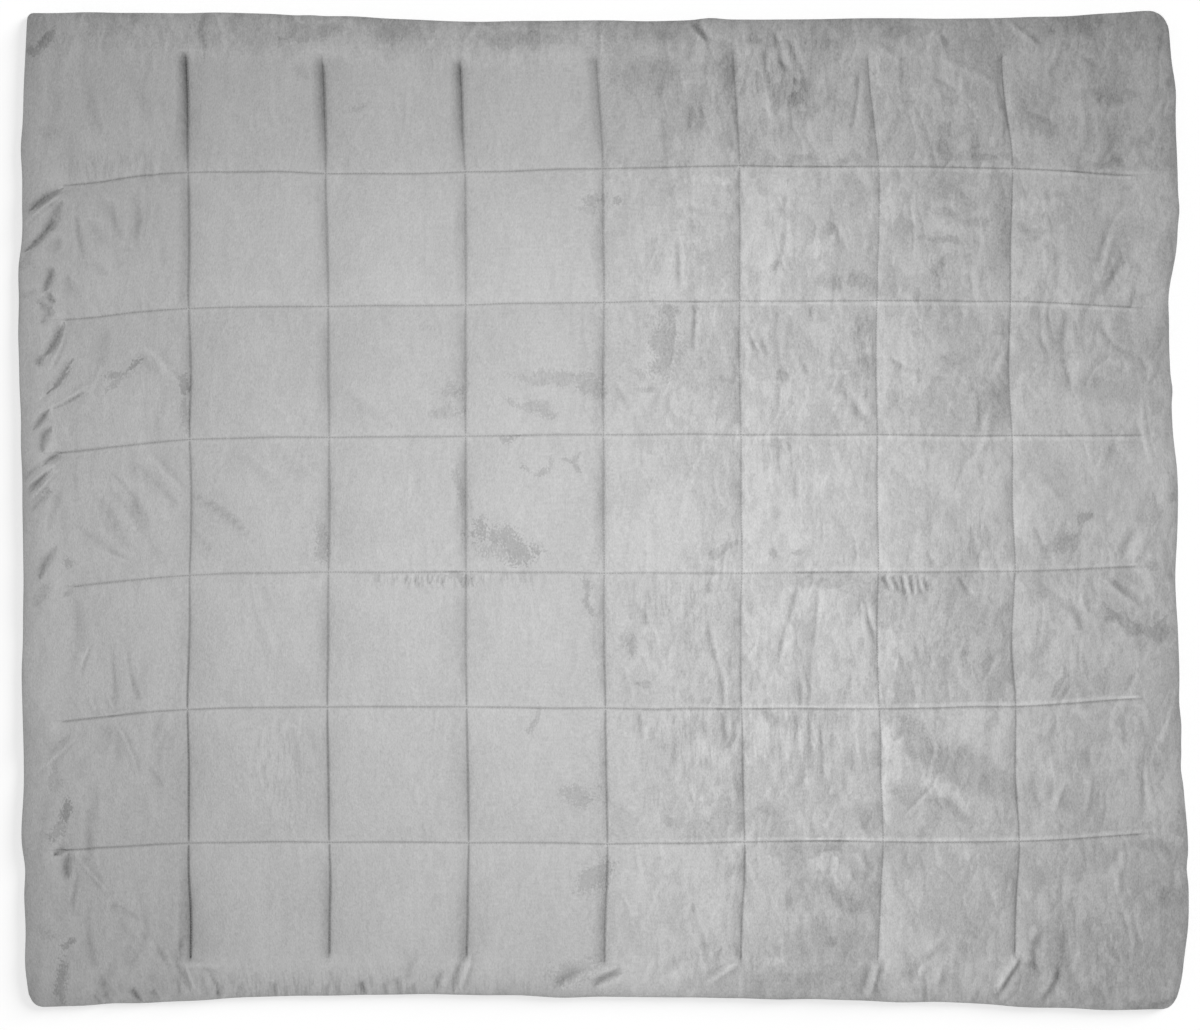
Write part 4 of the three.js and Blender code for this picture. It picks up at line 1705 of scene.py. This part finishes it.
def placed_tone(tree, name, ragged, limits):
    """Tone of the marks or cores of this name, which a mesh's points carry."""
    shown = step_up(tree, calculate(tree, "ADD", ragged, piece_value(tree, name)), *limits)
    return calculate(tree, "MULTIPLY", shown, piece_value(tree, name + "_tone"))


def tick_tone(tree):
    """Tone of the ticks where the pile is gathered."""
    ticks = step_up(tree, grain(tree, TICK_CELL, detail=1), *TICK_LIMITS)
    shown = calculate(tree, "MULTIPLY", ticks, piece_value(tree, "ticks"))
    return calculate(tree, "MULTIPLY", shown, -TICK_TONE)


def plush_material():
    """Short, dense grey pile, with streaks, patches and marks where it is brushed."""
    material, tree, shader = new_material("plush")
    fine = grain(tree, GRAIN_CELL, detail=2)
    tufts = grain(tree, TUFT_CELL, detail=3)
    streaks = grain(tree, STREAK_CELL, detail=3, warp=STREAK_WARP)
    brushed = piece_value(tree, "brushed")
    ragged = ragged_edge(tree, streaks, brushed)
    # The plush's colour starts from the painted shade and highlight that the mesh's points carry
    tone = calculate(tree, "ADD", piece_value(tree, "painted_shade"), 1)
    parts = (
        fine_tone(tree, fine, tufts, brushed),
        brushed_tone(tree, streaks, brushed),
        placed_tone(tree, "mark", ragged, MARK_LIMITS),
        # The fold cores' tone is painted shade in troughs and a painted highlight on ridges
        placed_tone(tree, "core", calculate(tree, "MULTIPLY", ragged, CORE_RAGGED), CORE_LIMITS),
        tick_tone(tree),
    )
    for part in parts:
        tone = calculate(tree, "ADD", tone, part)
    feed(tree, shader.inputs["Base Color"], calculate(tree, "MULTIPLY", tone, PLUSH_GREY))
    feed(tree, shader.inputs["Roughness"], spread(tree, fine, *PLUSH_ROUGHNESS))
    shader.inputs["Sheen Weight"].default_value = PLUSH_SHEEN
    shader.inputs["Sheen Roughness"].default_value = PLUSH_SHEEN_ROUGHNESS
    shader.inputs["Specular IOR Level"].default_value = PLUSH_SPECULAR
    add_bump(tree, shader, calculate(tree, "ADD", fine, tufts), PLUSH_BUMP)
    return material


# Pile of the hidden back
BACK_GREY = 0.55
BACK_TONES = (0.8, 1.2)
BACK_ROUGHNESS = (0.85, 1.0)
BACK_NUB = (7, 7, 7)
BACK_BUMP = 3.0


def pile_back_material():
    """Curly pile of the back, in small nubs."""
    material, tree, shader = new_material("pile_back")
    nubs = grain(tree, BACK_NUB, detail=2)
    grey = calculate(tree, "MULTIPLY", spread(tree, nubs, *BACK_TONES), BACK_GREY)
    feed(tree, shader.inputs["Base Color"], grey)
    feed(tree, shader.inputs["Roughness"], spread(tree, nubs, *BACK_ROUGHNESS))
    shader.inputs["Sheen Weight"].default_value = PLUSH_SHEEN
    shader.inputs["Specular IOR Level"].default_value = PLUSH_SPECULAR
    add_bump(tree, shader, nubs, BACK_BUMP)
    return material


# Quilting thread
THREAD_GREY = 0.3
THREAD_TONES = (0.85, 1.15)
THREAD_ROUGHNESS = (0.55, 0.75)
THREAD_PLY = (0.25, 0.25, 0.25)
THREAD_BUMP = 0.1


def thread_material():
    """Matt spun thread, darker than the plush."""
    material, tree, shader = new_material("thread")
    ply = grain(tree, THREAD_PLY, detail=1)
    grey = calculate(tree, "MULTIPLY", spread(tree, ply, *THREAD_TONES), THREAD_GREY)
    feed(tree, shader.inputs["Base Color"], grey)
    feed(tree, shader.inputs["Roughness"], spread(tree, ply, *THREAD_ROUGHNESS))
    add_bump(tree, shader, ply, THREAD_BUMP)
    return material


# Floor: pale, and bright enough to stay white in the picture
FLOOR_SIDE = 30000
FLOOR_GREY = 0.9
FLOOR_TONES = (0.99, 1.01)
FLOOR_ROUGHNESS = 0.9
FLOOR_GLOW = 0.42
FLOOR_CELL = (400, 400, 400)


def add_floor():
    """The pale floor that the blanket lies on."""
    half = FLOOR_SIDE / 2
    corners = np.array([(-half, -half, 0), (half, -half, 0), (half, half, 0), (-half, half, 0)])
    floor = add_mesh("floor", corners, [(0, 1, 2, 3)])
    material, tree, shader = new_material("pale_floor")
    mottle = spread(tree, grain(tree, FLOOR_CELL, detail=1), *FLOOR_TONES)
    grey = calculate(tree, "MULTIPLY", mottle, FLOOR_GREY)
    feed(tree, shader.inputs["Base Color"], grey)
    shader.inputs["Roughness"].default_value = FLOOR_ROUGHNESS
    shader.inputs["Emission Color"].default_value = WHITE
    shader.inputs["Emission Strength"].default_value = FLOOR_GLOW
    floor.data.materials.append(material)
    return floor


# Soft studio light: a round lamp above the blanket, an even sky, and a low light from the upper right
# that only reaches the floor, where it throws the blanket's soft shadow to the left and down
LAMP_PLACE = (-9, -65, 1200)
LAMP_WIDTH = 500
LAMP_POWER = 11.5
SKY_LIGHT = 0.44
LOW_LIGHT_TO_LEFT = 0.85
LOW_LIGHT_DOWN = 0.5
LOW_LIGHT_FALL = 0.38
LOW_LIGHT_SPREAD = 25
LOW_LIGHT_STRENGTH = 1.8


def add_light(name, light, shines_on):
    """A light that reaches only the given pieces."""
    holder = bpy.data.objects.new(name, light)
    holder.visible_camera = False
    bpy.context.scene.collection.objects.link(holder)
    receivers = bpy.data.collections.new(name + "_receivers")
    for piece in shines_on:
        receivers.objects.link(piece)
    holder.light_linking.receiver_collection = receivers
    return holder


def add_lights(cloth_pieces, floor):
    """The lamp for the cloth, the low light for the floor, and the sky."""
    lamp = bpy.data.lights.new("overhead_lamp", "AREA")
    lamp.shape = "DISK"
    lamp.size = LAMP_WIDTH * MM
    lamp.energy = LAMP_POWER
    holder = add_light("overhead_lamp", lamp, cloth_pieces)
    holder.location = [place * MM for place in LAMP_PLACE]

    low = bpy.data.lights.new("low_light", "SUN")
    low.angle = math.radians(LOW_LIGHT_SPREAD)
    low.energy = LOW_LIGHT_STRENGTH
    holder = add_light("low_light", low, [floor])
    direction = Vector((-LOW_LIGHT_TO_LEFT, -LOW_LIGHT_DOWN, -LOW_LIGHT_FALL))
    holder.rotation_euler = direction.to_track_quat("-Z", "Y").to_euler()

    world = bpy.data.worlds.new("studio")
    world.use_nodes = True
    background = world.node_tree.nodes["Background"]
    background.inputs["Color"].default_value = WHITE
    background.inputs["Strength"].default_value = SKY_LIGHT
    bpy.context.scene.world = world


# Camera: straight above, with the whole blanket in a picture of 1200 x 1030
VIEW_WIDTH = 1560
VIEW_MIDDLE = (-4.55, -5.85)
VIEW_HEIGHT = 12
CAMERA_LENS = 85
CAMERA_SENSOR = 36


def add_camera():
    """The camera that sees what the photo shows."""
    camera = bpy.data.cameras.new("camera")
    camera.lens = CAMERA_LENS
    camera.sensor_width = CAMERA_SENSOR
    holder = bpy.data.objects.new("camera", camera)
    distance = VIEW_WIDTH * CAMERA_LENS / CAMERA_SENSOR
    holder.location = (VIEW_MIDDLE[0] * MM, VIEW_MIDDLE[1] * MM, (VIEW_HEIGHT + distance) * MM)
    bpy.context.scene.collection.objects.link(holder)
    bpy.context.scene.camera = holder


blanket, shift = add_blanket()
column_stitching = add_stitching(
    "stitching_columns", column_lines, STITCH_COLUMNS, False, shift, COLUMN_STITCH_SEED
)
row_stitching = add_stitching(
    "stitching_rows", row_lines, STITCH_ROWS, True, shift, ROW_STITCH_SEED
)
cloth_pieces = (blanket, column_stitching, row_stitching)
for piece in cloth_pieces:
    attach(piece, BODY)
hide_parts(BLANKET_NODE)
add_lights(cloth_pieces, add_floor())
add_camera()
bpy.context.scene.view_settings.view_transform = "Standard"
